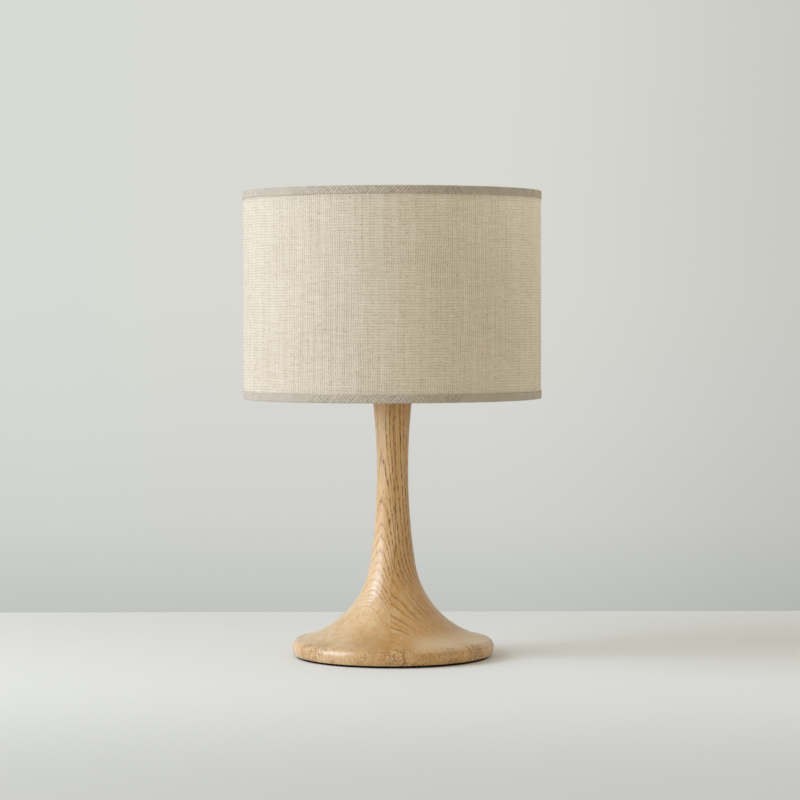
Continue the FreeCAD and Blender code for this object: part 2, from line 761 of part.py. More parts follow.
def make_terminals():
    """Two brass terminal blocks under the insert, each with a clamping screw from below."""
    blocks, screws = [], []
    underside = f"({CAP_TOP} - terminal_height)"
    for name, side in (("front", "-terminal_offset"), ("back", "terminal_offset")):
        block = doc.addObject("Part::Box", f"terminal_block_{name}")
        bind(block, Length="terminal_length", Width="terminal_width", Height="terminal_height")
        place(block, "-terminal_length / 2", f"{side} - terminal_width / 2", underside)
        hole = cylinder(f"terminal_hole_{name}", "terminal_screw_radius + press_gap", "terminal_height * 2")
        place(hole, along=side, up=f"{underside} - terminal_height / 2")
        blocks.append(cut(f"bored_block_{name}", block, hole))
        shank = cylinder(f"terminal_shank_{name}", "terminal_screw_radius", "terminal_height")
        place(shank, along=side, up=underside)
        head = cylinder(f"terminal_head_{name}", "terminal_screw_head", "terminal_head_height")
        place(head, along=side, up=f"{underside} - terminal_head_height")
        screw = doc.addObject("Part::Fuse", f"terminal_screw_{name}")
        screw.Base = shank
        screw.Tool = head
        screws.append(screw)
    return [group("terminal_blocks", blocks), group("terminal_screws", screws)]


def group(label, shapes):
    """Identical pieces that share one node."""
    compound = doc.addObject("Part::Compound", label)
    compound.Links = shapes
    compound.Label = label
    return compound


# ---------------------------------------------------------------------------------------------------
# Push-bar switch.
# ---------------------------------------------------------------------------------------------------


def make_switch_bar():
    """The bar that is pushed from either side. At rest it has been pushed towards -X."""
    body = new_body("switch_bar")
    rest = "(-bar_travel / 2)"
    low, high = f"({rest} - bar_length / 2)", f"({rest} + bar_length / 2)"
    half_notch = "(lever_tip_radius + slide_clearance)"
    notch_floor = f"({BAR_TOP} - bar_notch_depth)"
    corners = [
        (low, BAR_BASE),
        (high, BAR_BASE),
        (high, BAR_TOP),
        (f"{rest} + {half_notch}", BAR_TOP),
        (f"{rest} + {half_notch}", notch_floor),
        (f"{rest} - {half_notch}", notch_floor),
        (f"{rest} - {half_notch}", BAR_TOP),
        (low, BAR_TOP),
    ]
    extrude(body, outline(body, "bar_outline", corners), "bar_width")
    ends = [value(low), value(high)]
    blank = body.Tip
    names = []
    for number, edge in enumerate(blank.Shape.Edges, start=1):
        box = edge.BoundBox
        if box.XLength < 1e-6 and min(abs(box.XMin - end) for end in ends) < 1e-4:
            names.append(f"Edge{number}")
    fillet = body.newObject("PartDesign::Fillet", "bar_ends")
    fillet.Base = (blank, names)
    bind(fillet, Radius="bar_end_round")
    doc.recompute()
    return body


def make_switch_lever():
    """The lever that the bar tips over from side to side. Its tip lies in the bar's notch."""
    hub = cylinder("lever_hub", "lever_hub_radius", "lever_width")
    tip = place(cylinder("lever_tip", "lever_tip_radius", "lever_width"), along="-lever_arm")
    web = doc.addObject("Part::Box", "lever_web_plate")
    bind(web, Length="lever_web", Width="lever_arm", Height="lever_width")
    place(web, "-lever_web / 2", "-lever_arm")
    solid = doc.addObject("Part::MultiFuse", "lever_solid")
    solid.Shapes = [hub, tip, web]
    hole = cylinder("lever_hole", "lever_pin_radius + pivot_clearance", "lever_width * 3")
    blank = cut("lever_blank", solid, place(hole, up="-lever_width"))
    place(blank, along="lever_width / 2", rotation=LAID_TO_FRONT)
    lever = group("switch_lever", [blank])
    lever.Placement = Placement(Vector(), Rotation(Vector(0, 1, 0), 1))
    lean = "asin(bar_travel / 2 / lever_arm)"
    bind(lever, Placement__Base__z=LEVER_PIVOT, Placement__Rotation__Angle=lean)
    return lever


def make_lever_pin():
    pin = cylinder("lever_pin", "lever_pin_radius", "lever_pin_length")
    return place(pin, along="lever_pin_length / 2", up=LEVER_PIVOT, rotation=LAID_TO_FRONT)


# ---------------------------------------------------------------------------------------------------
# Bulb.
# ---------------------------------------------------------------------------------------------------


def make_bulb_cap():
    """The threaded metal cap, with a collar round the glass."""
    body = new_body("bulb_cap")
    foot = f"({BULB_BASE} + bulb_tip_height + bulb_glazing_height)"
    collar = f"({BULB_BASE} + bulb_collar_start)"
    inner = "(bulb_core_radius - bulb_cap_wall)"
    collar_bore = "(bulb_neck_radius + press_gap)"
    corners = [
        (inner, foot),
        ("bulb_core_radius", foot),
        ("bulb_core_radius", f"{collar} - 3 * bulb_cap_wall"),
        ("bulb_collar_radius", f"{collar} - bulb_cap_wall"),
        ("bulb_collar_radius", BULB_CAP_TOP),
        (collar_bore, BULB_CAP_TOP),
        (collar_bore, collar),
        (inner, collar),
    ]
    turn(body, outline(body, "bulb_cap_outline", corners))
    sketch = sketch_on(body, "bulb_cap_tooth")
    half_round(sketch, "bulb_core_radius", BULB_THREAD_BASE, "bulb_thread_ridge", "bulb_cap_wall / 4")
    thread(body, sketch, "bulb_thread_pitch", "bulb_thread_length")
    return body


def globe_outline(body):
    """The glass wall: neck, concave shoulder and globe, tangent to each other, inside and out."""
    sketch = sketch_on(body, "globe_outline")
    wall, neck, globe = value("bulb_glass_wall"), value("bulb_neck_radius"), value("bulb_globe_radius")
    base, shoulder_up, middle = value(GLASS_BASE), value(NECK_TOP), value(GLOBE_CENTRE)
    rise = middle - shoulder_up
    shoulder = (neck**2 + rise**2 - globe**2) / (2 * (globe - neck))
    centre, shoulder_centre = Vector(0, middle, 0), Vector(neck + shoulder, shoulder_up, 0)
    meet_outside = direction(shoulder_centre, centre)
    meet_globe = math.atan2(shoulder_up - middle, neck + shoulder)
    skins = []
    for inset in (0, wall):
        skins += [
            Part.LineSegment(Vector(neck - inset, base, 0), Vector(neck - inset, shoulder_up, 0)),
            arc_between(shoulder_centre, shoulder + inset, meet_outside, math.pi),
            arc_between(centre, globe - inset, meet_globe, math.pi / 2),
        ]
    crown = Part.LineSegment(Vector(0, middle + globe, 0), Vector(0, middle + globe - wall, 0))
    lip = Part.LineSegment(Vector(neck, base, 0), Vector(neck - wall, base, 0))
    sketch.addGeometry([*skins, crown, lip], False)
    start, end, mid = 1, 2, 3
    crown_edge, lip_edge = len(skins), len(skins) + 1
    for first, inset in ((0, "0"), (3, "bulb_glass_wall")):
        line, arc, dome = first, first + 1, first + 2
        hold(sketch, "Tangent", line, end, arc, end)
        hold(sketch, "Tangent", arc, start, dome, start)
        hold(sketch, "Vertical", line)
        hold_point(sketch, line, start, f"bulb_neck_radius - {inset}", GLASS_BASE)
        hold(sketch, "Radius", dome, size=f"bulb_globe_radius - {inset}")
        hold_point(sketch, dome, mid, "0", GLOBE_CENTRE)
        hold(sketch, "PointOnObject", dome, end, -2)
        hold(sketch, "DistanceY", -1, 1, arc, mid, size=NECK_TOP)
    hold(sketch, "Coincident", 2, end, crown_edge, start)
    hold(sketch, "Coincident", 5, end, crown_edge, end)
    hold(sketch, "Coincident", 0, start, lip_edge, start)
    hold(sketch, "Coincident", 3, start, lip_edge, end)
    return sketch


def make_bulb_glass():
    body = new_body("bulb_glass")
    turn(body, globe_outline(body))
    return body


def make_bulb_insides():
    """The glazing and tip at the foot of the cap, and the stem, leads and filaments inside the glass."""
    tip_top = f"({BULB_BASE} + bulb_tip_height)"
    cap_foot = f"({tip_top} + bulb_glazing_height)"
    cap_bore = "(bulb_core_radius - bulb_cap_wall)"
    stem_base = f"({GLASS_BASE} + bulb_glass_wall)"
    stem_foot = "(bulb_neck_radius - bulb_glass_wall - press_gap)"
    stem_top = f"({BULB_BASE} + stem_top)"
    glazing = turned(
        "bulb_glazing",
        [("0", tip_top), ("bulb_tip_radius", tip_top), (cap_bore, cap_foot), ("0", cap_foot)],
    )
    tip = turned(
        "bulb_tip",
        [("0", BULB_BASE), ("bulb_tip_radius / 2", BULB_BASE), ("bulb_tip_radius", tip_top), ("0", tip_top)],
    )
    stem = turned(
        "bulb_stem",
        [
            ("0", stem_base),
            (stem_foot, stem_base),
            ("stem_radius", f"{stem_base} + stem_radius / 2"),
            ("stem_radius / 3", f"{stem_base} + stem_radius * 1.5"),
            ("stem_radius / 3", stem_top),
            ("0", stem_top),
        ],
    )
    filaments, leads = [], []
    low = f"({stem_top} + stem_radius / 3)"
    off_end = "(lead_radius + lamination_gap)"
    for angle in FILAMENT_ANGLES:
        across, along = f"filament_spread * cos({angle} deg)", f"filament_spread * sin({angle} deg)"
        rod = cylinder(f"filament_{angle:.0f}", "filament_radius", "filament_length")
        filaments.append(place(rod, across, along, low))
        outwards = Rotation(Vector(0, 0, 1), angle) * Rotation(Vector(0, 1, 0), 90)
        for name, height in (("low", f"{low} - {off_end}"), ("high", f"{low} + filament_length + {off_end}")):
            lead = cylinder(f"lead_{name}_{angle:.0f}", "lead_radius", "filament_spread")
            leads.append(place(lead, up=height, rotation=outwards))
    mast_height = f"{low} - {stem_top} + filament_length + 4 * lead_radius"
    mast = cylinder("lead_mast", "lead_radius * 2", mast_height)
    leads.append(place(mast, up=stem_top))
    wires = doc.addObject("Part::MultiFuse", "bulb_leads")
    wires.Shapes = leads
    wires.Label = "bulb_leads"
    return [glazing, tip, stem, group("bulb_filaments", filaments), wires]


# ---------------------------------------------------------------------------------------------------
# Shade.
# ---------------------------------------------------------------------------------------------------


def make_trim(label, edge, inward):
    """The tape that is rolled over a rim: a wide leg outside, a narrow leg round the wire inside.

    edge is the rim's level, and inward is +1 where the shade lies above it and -1 where it lies below."""
    outer = "(shade_radius + lamination_gap + trim_thickness)"
    skin = "(shade_radius + lamination_gap)"
    pocket = f"({TRIM_BORE} + trim_thickness)"
    lining = f"({edge} + {inward} * trim_thickness)"
    body = new_body(label)
    corners = [
        (TRIM_BORE, edge),
        (outer, edge),
        (outer, f"{edge} + {inward} * trim_width"),
        (skin, f"{edge} + {inward} * trim_width"),
        (skin, lining),
        (pocket, lining),
        (pocket, f"{edge} + {inward} * trim_inner_width"),
        (TRIM_BORE, f"{edge} + {inward} * trim_inner_width"),
    ]
    turn(body, outline(body, f"{label}_outline", corners))
    round_rims(body, [(outer, edge), (TRIM_BORE, edge)], "trim_thickness * 0.9")
    return body


def make_wire_ring(label, level):
    ring = doc.addObject("Part::Torus", label)
    ring.Label = label
    bind(ring, Radius1=WIRE_RING_RADIUS, Radius2="ring_wire_radius")
    return place(ring, up=level)


SPOKE_HIGH = f"({FITTER_BASE} + fitter_thickness / 2)"
SPOKE_LOW = f"({BOTTOM_WIRE} + ring_wire_radius + spoke_radius - weld_depth / 2)"


def spoke_path(body):
    """Level at the fitter, bent down to the bottom wire, and level again on it."""
    sketch = sketch_on(body, "spoke_path")
    inner, outer = value("fitter_radius - weld_depth"), value(WIRE_RING_RADIUS)
    high, low, level, bend = (value(s) for s in (SPOKE_HIGH, SPOKE_LOW, "spoke_level", "spoke_bend"))
    upper, lower = Vector(inner + level, high, 0), Vector(outer - level, low, 0)
    fall = math.atan2(upper.y - lower.y, lower.x - upper.x)
    trim = bend * math.tan(fall / 2)
    slope = (lower - upper).normalize()
    bend_in, bend_out = Vector(upper.x - trim, high - bend, 0), Vector(lower.x + trim, low + bend, 0)
    geometry = [
        Part.LineSegment(Vector(inner, high, 0), upper - Vector(trim, 0, 0)),
        arc_between(bend_in, bend, math.pi / 2 - fall, math.pi / 2),
        Part.LineSegment(upper + slope * trim, lower - slope * trim),
        arc_between(bend_out, bend, 1.5 * math.pi - fall, 1.5 * math.pi),
        Part.LineSegment(lower + Vector(trim, 0, 0), Vector(outer, low, 0)),
    ]
    sketch.addGeometry(geometry, False)
    top_run, top_bend, slant, low_bend, low_run = range(len(geometry))
    start, end = 1, 2
    hold(sketch, "Tangent", top_run, end, top_bend, end)
    hold(sketch, "Tangent", top_bend, start, slant, start)
    hold(sketch, "Tangent", slant, end, low_bend, start)
    hold(sketch, "Tangent", low_bend, end, low_run, start)
    hold(sketch, "Horizontal", top_run)
    hold(sketch, "Horizontal", low_run)
    hold_point(sketch, top_run, start, "fitter_radius - weld_depth", SPOKE_HIGH)
    hold_point(sketch, low_run, end, WIRE_RING_RADIUS, SPOKE_LOW)
    hold(sketch, "Radius", top_bend, size="spoke_bend")
    hold(sketch, "Radius", low_bend, size="spoke_bend")
    for run in (top_run, low_run):
        hold(sketch, "DistanceX", run, start, run, end, size=f"spoke_level - {trim}")
    return sketch


def make_spoke(number, angle):
    """One bent wire of the fitter, welded to its ring and to the shade's bottom wire."""
    label = f"fitter_spoke_{number}"
    body = new_body(label)
    path = spoke_path(body)
    start = "fitter_radius - weld_depth"
    wire = disc(body, f"{label}_section", "0", SPOKE_HIGH, "spoke_radius", "YZ_Plane", start)
    pipe = body.newObject("PartDesign::AdditivePipe", f"{label}_wire")
    pipe.Profile = wire
    pipe.Spine = (path, [f"Edge{i + 1}" for i in range(5)])
    doc.recompute()
    return place(body, rotation=Rotation(Vector(0, 0, 1), angle))


def make_shade():
    linen_bore = "(shade_radius - linen_thickness)"
    linen = washer("shade_linen", linen_bore, "shade_radius", LINEN_BASE, LINEN_TOP)
    liner = washer("shade_liner", LINER_BORE, LINER_RADIUS, LINEN_BASE, LINEN_TOP)
    fitter_top = f"{FITTER_BASE} + fitter_thickness"
    fitter = washer("fitter_ring", FITTER_BORE, "fitter_radius", FITTER_BASE, fitter_top)
    spokes = [make_spoke(number, angle) for number, angle in enumerate(SPOKE_ANGLES, start=1)]
    return [
        linen,
        liner,
        make_trim("shade_top_trim", SHADE_TOP, "(-1)"),
        make_trim("shade_bottom_trim", "shade_bottom", "1"),
        make_wire_ring("shade_top_wire", TOP_WIRE),
        make_wire_ring("shade_bottom_wire", BOTTOM_WIRE),
        fitter,
        *spokes,
    ]


# ---------------------------------------------------------------------------------------------------
# The whole lamp.
# ---------------------------------------------------------------------------------------------------


def make_lamp():
    return [
        make_base_pad(),
        make_turned_body(),
        make_cord_inlet(),
        *make_tube_and_fasteners(),
        make_holder_cap(),
        make_grub_screw(),
        make_holder_skirt(),
        make_holder_insert(),
        make_screw_shell(),
        make_centre_contact(),
        *make_terminals(),
        make_switch_bar(),
        make_switch_lever(),
        make_lever_pin(),
        make_shade_ring("lower_shade_ring", LOWER_RING_BASE, flange_on_top=True),
        make_shade_ring("upper_shade_ring", UPPER_RING_BASE, flange_on_top=False),
        make_bulb_cap(),
        make_bulb_glass(),
        *make_bulb_insides(),
        *make_shade(),
    ]


def check(pieces):
    """Stops if anything failed to build."""
    failed = [o.Label for o in doc.Objects if "Invalid" in o.State or "Error" in o.State]
    if failed:
        raise RuntimeError(f"these did not build: {failed}")
    for piece in pieces:
        if piece.Shape.isNull() or not piece.Shape.isValid() or not piece.Shape.Solids:
            raise RuntimeError(f"{piece.Label} is not a valid solid")


def write(pieces):
    os.makedirs("parts", exist_ok=True)
    for piece in pieces:
        piece.Shape.exportStep(os.path.join("parts", f"{piece.Label}.step"))
        print(f"{piece.Label}: {len(piece.Shape.Solids)} solid(s), {piece.Shape.Volume:.1f} mm3")


fill_sheet()
lamp = make_lamp()
doc.recompute()
check(lamp)
write(lamp)
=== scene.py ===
import json
import math

import bmesh
import bpy
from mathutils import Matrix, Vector


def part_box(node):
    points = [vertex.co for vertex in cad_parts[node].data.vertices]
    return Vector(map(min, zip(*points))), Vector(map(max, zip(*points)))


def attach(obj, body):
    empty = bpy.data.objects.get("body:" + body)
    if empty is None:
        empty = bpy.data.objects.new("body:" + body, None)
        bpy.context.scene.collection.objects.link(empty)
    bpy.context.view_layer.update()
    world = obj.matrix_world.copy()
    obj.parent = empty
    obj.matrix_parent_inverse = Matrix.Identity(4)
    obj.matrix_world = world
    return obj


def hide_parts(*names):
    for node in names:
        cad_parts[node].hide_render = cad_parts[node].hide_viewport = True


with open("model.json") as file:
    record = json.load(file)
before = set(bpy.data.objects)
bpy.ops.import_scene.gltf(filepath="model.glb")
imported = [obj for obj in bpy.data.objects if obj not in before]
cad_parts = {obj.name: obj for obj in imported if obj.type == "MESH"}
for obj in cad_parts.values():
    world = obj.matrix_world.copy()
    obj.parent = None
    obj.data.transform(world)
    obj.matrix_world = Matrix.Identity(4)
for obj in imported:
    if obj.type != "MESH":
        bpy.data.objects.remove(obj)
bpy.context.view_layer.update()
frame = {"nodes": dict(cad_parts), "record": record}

MM = 0.001


# ---------------------------------------------------------------------------------------------------
# Measures: lengths in millimetres, read from the frame where the frame has them.
# ---------------------------------------------------------------------------------------------------


def node_span(node):
    """A node's outer radius, its lowest level and its highest, in millimetres."""
    low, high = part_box(node)
    return high[0] / MM, low[2] / MM, high[2] / MM


LINEN_RADIUS, LINEN_BASE, LINEN_TOP = node_span("shade_linen")
TRIM_RADIUS, TRIM_BASE, TRIM_BAND_TOP = node_span("shade_bottom_trim")
_, _, SHADE_TOP = node_span("shade_top_trim")
WIRE_OUTER, WIRE_BASE, WIRE_TOP = node_span("shade_bottom_wire")
PAD_RADIUS, PAD_BASE, PAD_TOP = node_span("base_pad")
LINER_RADIUS = node_span("shade_liner")[0]

WIRE_THICKNESS = WIRE_TOP - WIRE_BASE
TAPE_INSIDE_WIRE = 0.75
TRIM_WIDTH = TRIM_BAND_TOP - TRIM_BASE
TRIM_BORE = WIRE_OUTER - WIRE_THICKNESS - TAPE_INSIDE_WIRE
SEAM_OVERLAP = 10.0
SEAM_ANGLE = math.radians(90)
SEGMENTS = 480


# ---------------------------------------------------------------------------------------------------
# Materials.
# ---------------------------------------------------------------------------------------------------


def srgb(red, green, blue):
    """A colour given as 0-255 screen values, in the renderer's linear light."""

    def linear(channel):
        c = channel / 255
        return c / 12.92 if c <= 0.04045 else ((c + 0.055) / 1.055) ** 2.4

    return (linear(red), linear(green), linear(blue), 1.0)


class Nodes:
    """A node tree, with short ways to add the nodes that the materials and the world share."""

    def __init__(self, tree):
        self.tree = tree

    def node(self, kind, **settings):
        made = self.tree.nodes.new(kind)
        for key, setting in settings.items():
            setattr(made, key, setting)
        return made

    def feed(self, socket, source):
        if isinstance(source, bpy.types.NodeSocket):
            self.tree.links.new(source, socket)
        elif source is not None:
            socket.default_value = source

    def math(self, operation, first, second=None):
        made = self.node("ShaderNodeMath", operation=operation)
        for socket, source in zip(made.inputs, (first, second)):
            self.feed(socket, source)
        return made.outputs[0]

    def vector(self, operation, first, second=None):
        made = self.node("ShaderNodeVectorMath", operation=operation)
        self.feed(made.inputs[0], first)
        self.feed(made.inputs[1], second)
        return made.outputs["Value"] if operation in ("LENGTH", "DOT_PRODUCT") else made.outputs[0]

    def join(self, x, y, z):
        made = self.node("ShaderNodeCombineXYZ")
        for socket, source in zip(made.inputs, (x, y, z)):
            self.feed(socket, source)
        return made.outputs[0]

    def split(self, vector):
        made = self.node("ShaderNodeSeparateXYZ")
        self.feed(made.inputs[0], vector)
        return made.outputs

    def place(self):
        """The point being shaded, in millimetres."""
        coordinates = self.node("ShaderNodeTexCoord")
        return self.vector("MULTIPLY", coordinates.outputs["Object"], (1 / MM,) * 3)

    def noise(self, vector, scale=1.0, detail=2.0, roughness=0.5, seed=0.0):
        made = self.node("ShaderNodeTexNoise", noise_dimensions="4D")
        self.feed(made.inputs["Vector"], vector)
        for key, setting in (("Scale", scale), ("Detail", detail), ("Roughness", roughness), ("W", seed)):
            made.inputs[key].default_value = setting
        return made.outputs["Fac"]

    def rescale(self, source, low, high, to_low=0.0, to_high=1.0, smooth=True):
        made = self.node("ShaderNodeMapRange", interpolation_type="SMOOTHSTEP" if smooth else "LINEAR")
        for socket, setting in zip(made.inputs, (source, low, high, to_low, to_high)):
            self.feed(socket, setting)
        return made.outputs[0]

    def blend(self, factor, first, second, mode="MIX"):
        made = self.node("ShaderNodeMix", data_type="RGBA", blend_type=mode)
        for index, source in ((0, factor), (6, first), (7, second)):
            self.feed(made.inputs[index], source)
        return made.outputs[2]

    def choose(self, factor, first, second):
        """A number between two, by a factor from 0 to 1."""
        made = self.node("ShaderNodeMix", data_type="FLOAT")
        for index, source in ((0, factor), (2, first), (3, second)):
            self.feed(made.inputs[index], source)
        return made.outputs[0]

    def add(self, *sources):
        """The sum of numbers, each given plain or as a (number, weight) pair."""
        total = None
        for source in sources:
            if isinstance(source, tuple):
                source = self.math("MULTIPLY", *source)
            total = source if total is None else self.math("ADD", total, source)
        return total

    def bump(self, height, distance, strength):
        made = self.node("ShaderNodeBump")
        made.inputs["Strength"].default_value = strength
        made.inputs["Distance"].default_value = distance * MM
        self.feed(made.inputs["Height"], height)
        return made.outputs[0]


class Finish(Nodes):
    """A new material with its node tree."""

    def __init__(self, name):
        self.material = bpy.data.materials.new(name)
        self.material.use_nodes = True
        super().__init__(self.material.node_tree)
        self.shader = self.tree.nodes["Principled BSDF"]
        self.output = self.tree.nodes["Material Output"]

    def done(self, **inputs):
        """Sets the shader's own sockets, each by its name with underscores for spaces."""
        for key, source in inputs.items():
            self.feed(self.shader.inputs[key.replace("_", " ")], source)
        return self.material


# Wood. The blank is glued up from two boards that meet near the axis. The left board's growth rings are
# cylinders round a pith in front of the lamp, which draws arches down the column and the flare. The
# right board's rings are nearly flat: upright lines on the neck, slanting ones on the flare.
# Lengths are in millimetres. A pair of levels (above the table), widths (from the axis) or sides (from
# the joint) says where a zone starts and where it is full.
ALONG_GRAIN = (1.0, 1.0, 0.22)
FLARE_LEVELS = (110.0, 55.0)
JOINT_ON_NECK = 2.6
JOINT_ON_FLARE = -2.0
JOINT_WANDER = 2.0
LEFT_PITH = (-54.0, -66.0)
LEFT_TAPER = 0.062
LEFT_RING = 2.5
RIGHT_NECK_NORMAL = (0.80, 0.60)
RIGHT_FLARE_NORMAL = (0.30, 0.62)
RIGHT_TAPER = 0.06
RIGHT_RING = 4.4
RING_WANDER = (5.0, 0.6)

PLAIN_WIDTHS = (30.0, 52.0)
BOLD_LEVEL = 47.0
BOLD_REACH = 14.0
BOLD_FADE = 10.0
BOLD_OWN_REACH = 60.0
BOLD_FALL_ASIDE = 0.60
HIDDEN_SHARE = 0.8
RIM_LEVELS = (25.0, 15.0)
RIM_WIDTHS = (84.0, 96.0)
PORE_DASHES = (0.95, 0.95, 0.15)
PORE_DOTS = (0.8, 0.8, 0.6)
FEWER_PORES_SIDES = (-14.0, -5.0)
SCRATCH_LEVEL = 160.0
SCRATCH_REACH = 10.0
SCRATCH_END = 3.0

HONEY_SIDES = (-16.0, 4.0)
RUST_SIDES = (2.0, 40.0)
# The next levels set the painted shade under the lampshade, at the top of the neck.
NECK_SHADE_LEVELS = (228.0, 262.0)
BROWN_LEVELS = (42.0, 26.0)
BROWN_SIDES = (-62.0, -22.0)
# The next two pairs place a painted sheen on the right board's flare near its rim.
SHEEN_LEVELS = (32.0, 22.0)
SHEEN_SIDES = (12.0, 34.0)
ABOVE_RIM_LEVELS = (13.0, 16.0)
WOOD_PALE = srgb(220, 187, 139)
WOOD_HONEY = srgb(208, 161, 96)
WOOD_RUST = srgb(184, 134, 70)
WOOD_RING = srgb(148, 103, 54)
WOOD_PORE = srgb(88, 60, 34)

# How strongly each mark colours the wood: on the neck, and on the flare.
LINE_STRENGTH = (0.55, 0.58)
PORE_STRENGTH = (0.79, 0.47)
GLUE_STRENGTH = (0.70, 0.12)


def left_rings(g, x, y, z):
    """How far a point lies from the left board's pith, with the tree's taper."""
    across = g.math("SUBTRACT", x, LEFT_PITH[0])
    behind = g.math("SUBTRACT", y, LEFT_PITH[1])
    return g.add(g.vector("LENGTH", g.join(across, behind, 0.0)), (z, LEFT_TAPER))


def right_rings(g, x, y, z, on_flare):
    """A point's depth in the right board, whose rings swing round between the neck and the flare."""
    across, behind = (
        g.choose(on_flare, neck, flare) for neck, flare in zip(RIGHT_NECK_NORMAL, RIGHT_FLARE_NORMAL)
    )
    return g.add((x, across), (y, behind), (z, RIGHT_TAPER))


class WoodPoint:
    """A point of the wood: where it lies on the turned shape, and how deep in its board's rings."""

    def __init__(self, g):
        self.point = g.place()
        self.x, self.y, self.z = g.split(self.point)
        self.along = g.vector("MULTIPLY", self.point, ALONG_GRAIN)
        self.on_flare = g.rescale(self.z, *FLARE_LEVELS)
        self.width = g.vector("LENGTH", g.join(self.x, self.y, 0.0))
        slow = g.math("SUBTRACT", g.noise(self.along, 0.045, seed=3.1), 0.5)
        self.quick = g.math("SUBTRACT", g.noise(self.along, 0.30, seed=8.4), 0.5)
        joint = g.choose(self.on_flare, JOINT_ON_NECK, JOINT_ON_FLARE)
        self.off_joint = g.math("SUBTRACT", self.x, g.add(joint, (slow, JOINT_WANDER)))
        self.is_right = g.math("GREATER_THAN", self.off_joint, 0.0)
        wander = g.add((slow, RING_WANDER[0]), (self.quick, RING_WANDER[1]))
        left = g.add(left_rings(g, self.x, self.y, self.z), wander)
        right = g.add(right_rings(g, self.x, self.y, self.z, self.on_flare), wander)
        left, right = g.math("DIVIDE", left, LEFT_RING), g.math("DIVIDE", right, RIGHT_RING)
        self.depth = g.choose(self.is_right, left, right)
        # The grain ends on the rim, and is coarser in some stretches of it.
        near_rim = g.rescale(self.width, *RIM_WIDTHS)
        self.end_grain = g.math("MULTIPLY", g.rescale(self.z, *RIM_LEVELS), near_rim)
        coarse = g.rescale(g.noise(self.point, 0.040, detail=1.0, seed=17.0), 0.44, 0.58, 0.2, 1.0)
        self.coarse_end = g.math("MULTIPLY", self.end_grain, coarse)


def growth_lines(g, w):
    """Each ring's dark line, the porous band beside it, and how far the rings show at this place."""
    uneven = g.noise(g.join(g.math("MULTIPLY", w.depth, 0.37), w.is_right, 0.0), detail=1.0, seed=1.7)
    rings = g.add(w.depth, (uneven, 1.6))
    phase = g.math("FRACT", rings)
    weight = g.noise(g.join(g.math("FLOOR", rings), w.is_right, 0.0), 0.77, detail=0.0, seed=5.0)
    porous = g.math("MULTIPLY", g.rescale(phase, 0.0, 0.10), g.rescale(phase, 0.55, 0.18))
    line = g.math("MULTIPLY", g.rescale(phase, 0.0, 0.06), g.rescale(phase, 0.36, 0.08))
    line = g.math("MULTIPLY", line, g.rescale(weight, 0.34, 0.60, 0.25, 1.0))
    # On the wide part of the flare the left board hardly shows its rings.
    plain = g.math("MULTIPLY", g.math("SUBTRACT", 1.0, w.is_right), g.rescale(w.width, *PLAIN_WIDTHS))
    # On the right board they are bold in one band of the flare near the joint, and faint beyond it.
    off_band = g.math("ABSOLUTE", g.math("SUBTRACT", w.z, BOLD_LEVEL))
    own_reach = g.math("MULTIPLY", g.math("SUBTRACT", weight, 0.5), BOLD_OWN_REACH)
    off_band = g.add(off_band, (g.math("ABSOLUTE", w.off_joint), BOLD_FALL_ASIDE), (own_reach, -1.0))
    bold = g.rescale(off_band, BOLD_REACH + BOLD_FADE, BOLD_REACH)
    bold = g.math("MAXIMUM", bold, g.rescale(w.on_flare, 0.9, 0.3))
    dull = g.math("MULTIPLY", w.is_right, g.math("SUBTRACT", 1.0, bold))
    hidden = g.math("MULTIPLY", g.math("MAXIMUM", plain, dull), HIDDEN_SHARE)
    shown = g.math("MAXIMUM", g.math("SUBTRACT", 1.0, hidden), w.coarse_end)
    return g.math("MULTIPLY", line, shown), porous, shown


def pore_marks(g, w, porous, shown):
    """Short dark dashes along the grain, and where the grain ends, dark specks and pale ones."""
    dashes = g.noise(g.vector("MULTIPLY", w.point, PORE_DASHES), roughness=0.55, seed=4.0)
    gate = g.math("MULTIPLY", porous, g.rescale(w.off_joint, *FEWER_PORES_SIDES, 0.55, 1.0))
    pores = g.math("MULTIPLY", g.rescale(g.add(dashes, (gate, 0.20)), 0.63, 0.74), shown)
    dots = g.noise(g.vector("MULTIPLY", w.point, PORE_DOTS), roughness=0.6, seed=4.4)
    specks = g.math("MULTIPLY", g.rescale(dots, 0.48, 0.60), w.coarse_end)
    pale_specks = g.math("MULTIPLY", g.rescale(dots, 0.46, 0.36), w.end_grain)
    return pores, specks, pale_specks


def scratch_mark(g, w):
    """One fine scratch round the front of the neck."""
    off_scratch = g.math("ABSOLUTE", g.math("SUBTRACT", w.z, g.add((w.quick, 2.0), SCRATCH_LEVEL)))
    reach = g.rescale(g.math("ABSOLUTE", w.x), SCRATCH_REACH, SCRATCH_REACH - SCRATCH_END)
    scratch = g.math("MULTIPLY", g.rescale(off_scratch, 0.55, 0.15), reach)
    return g.math("MULTIPLY", scratch, g.math("LESS_THAN", w.y, 0.0))


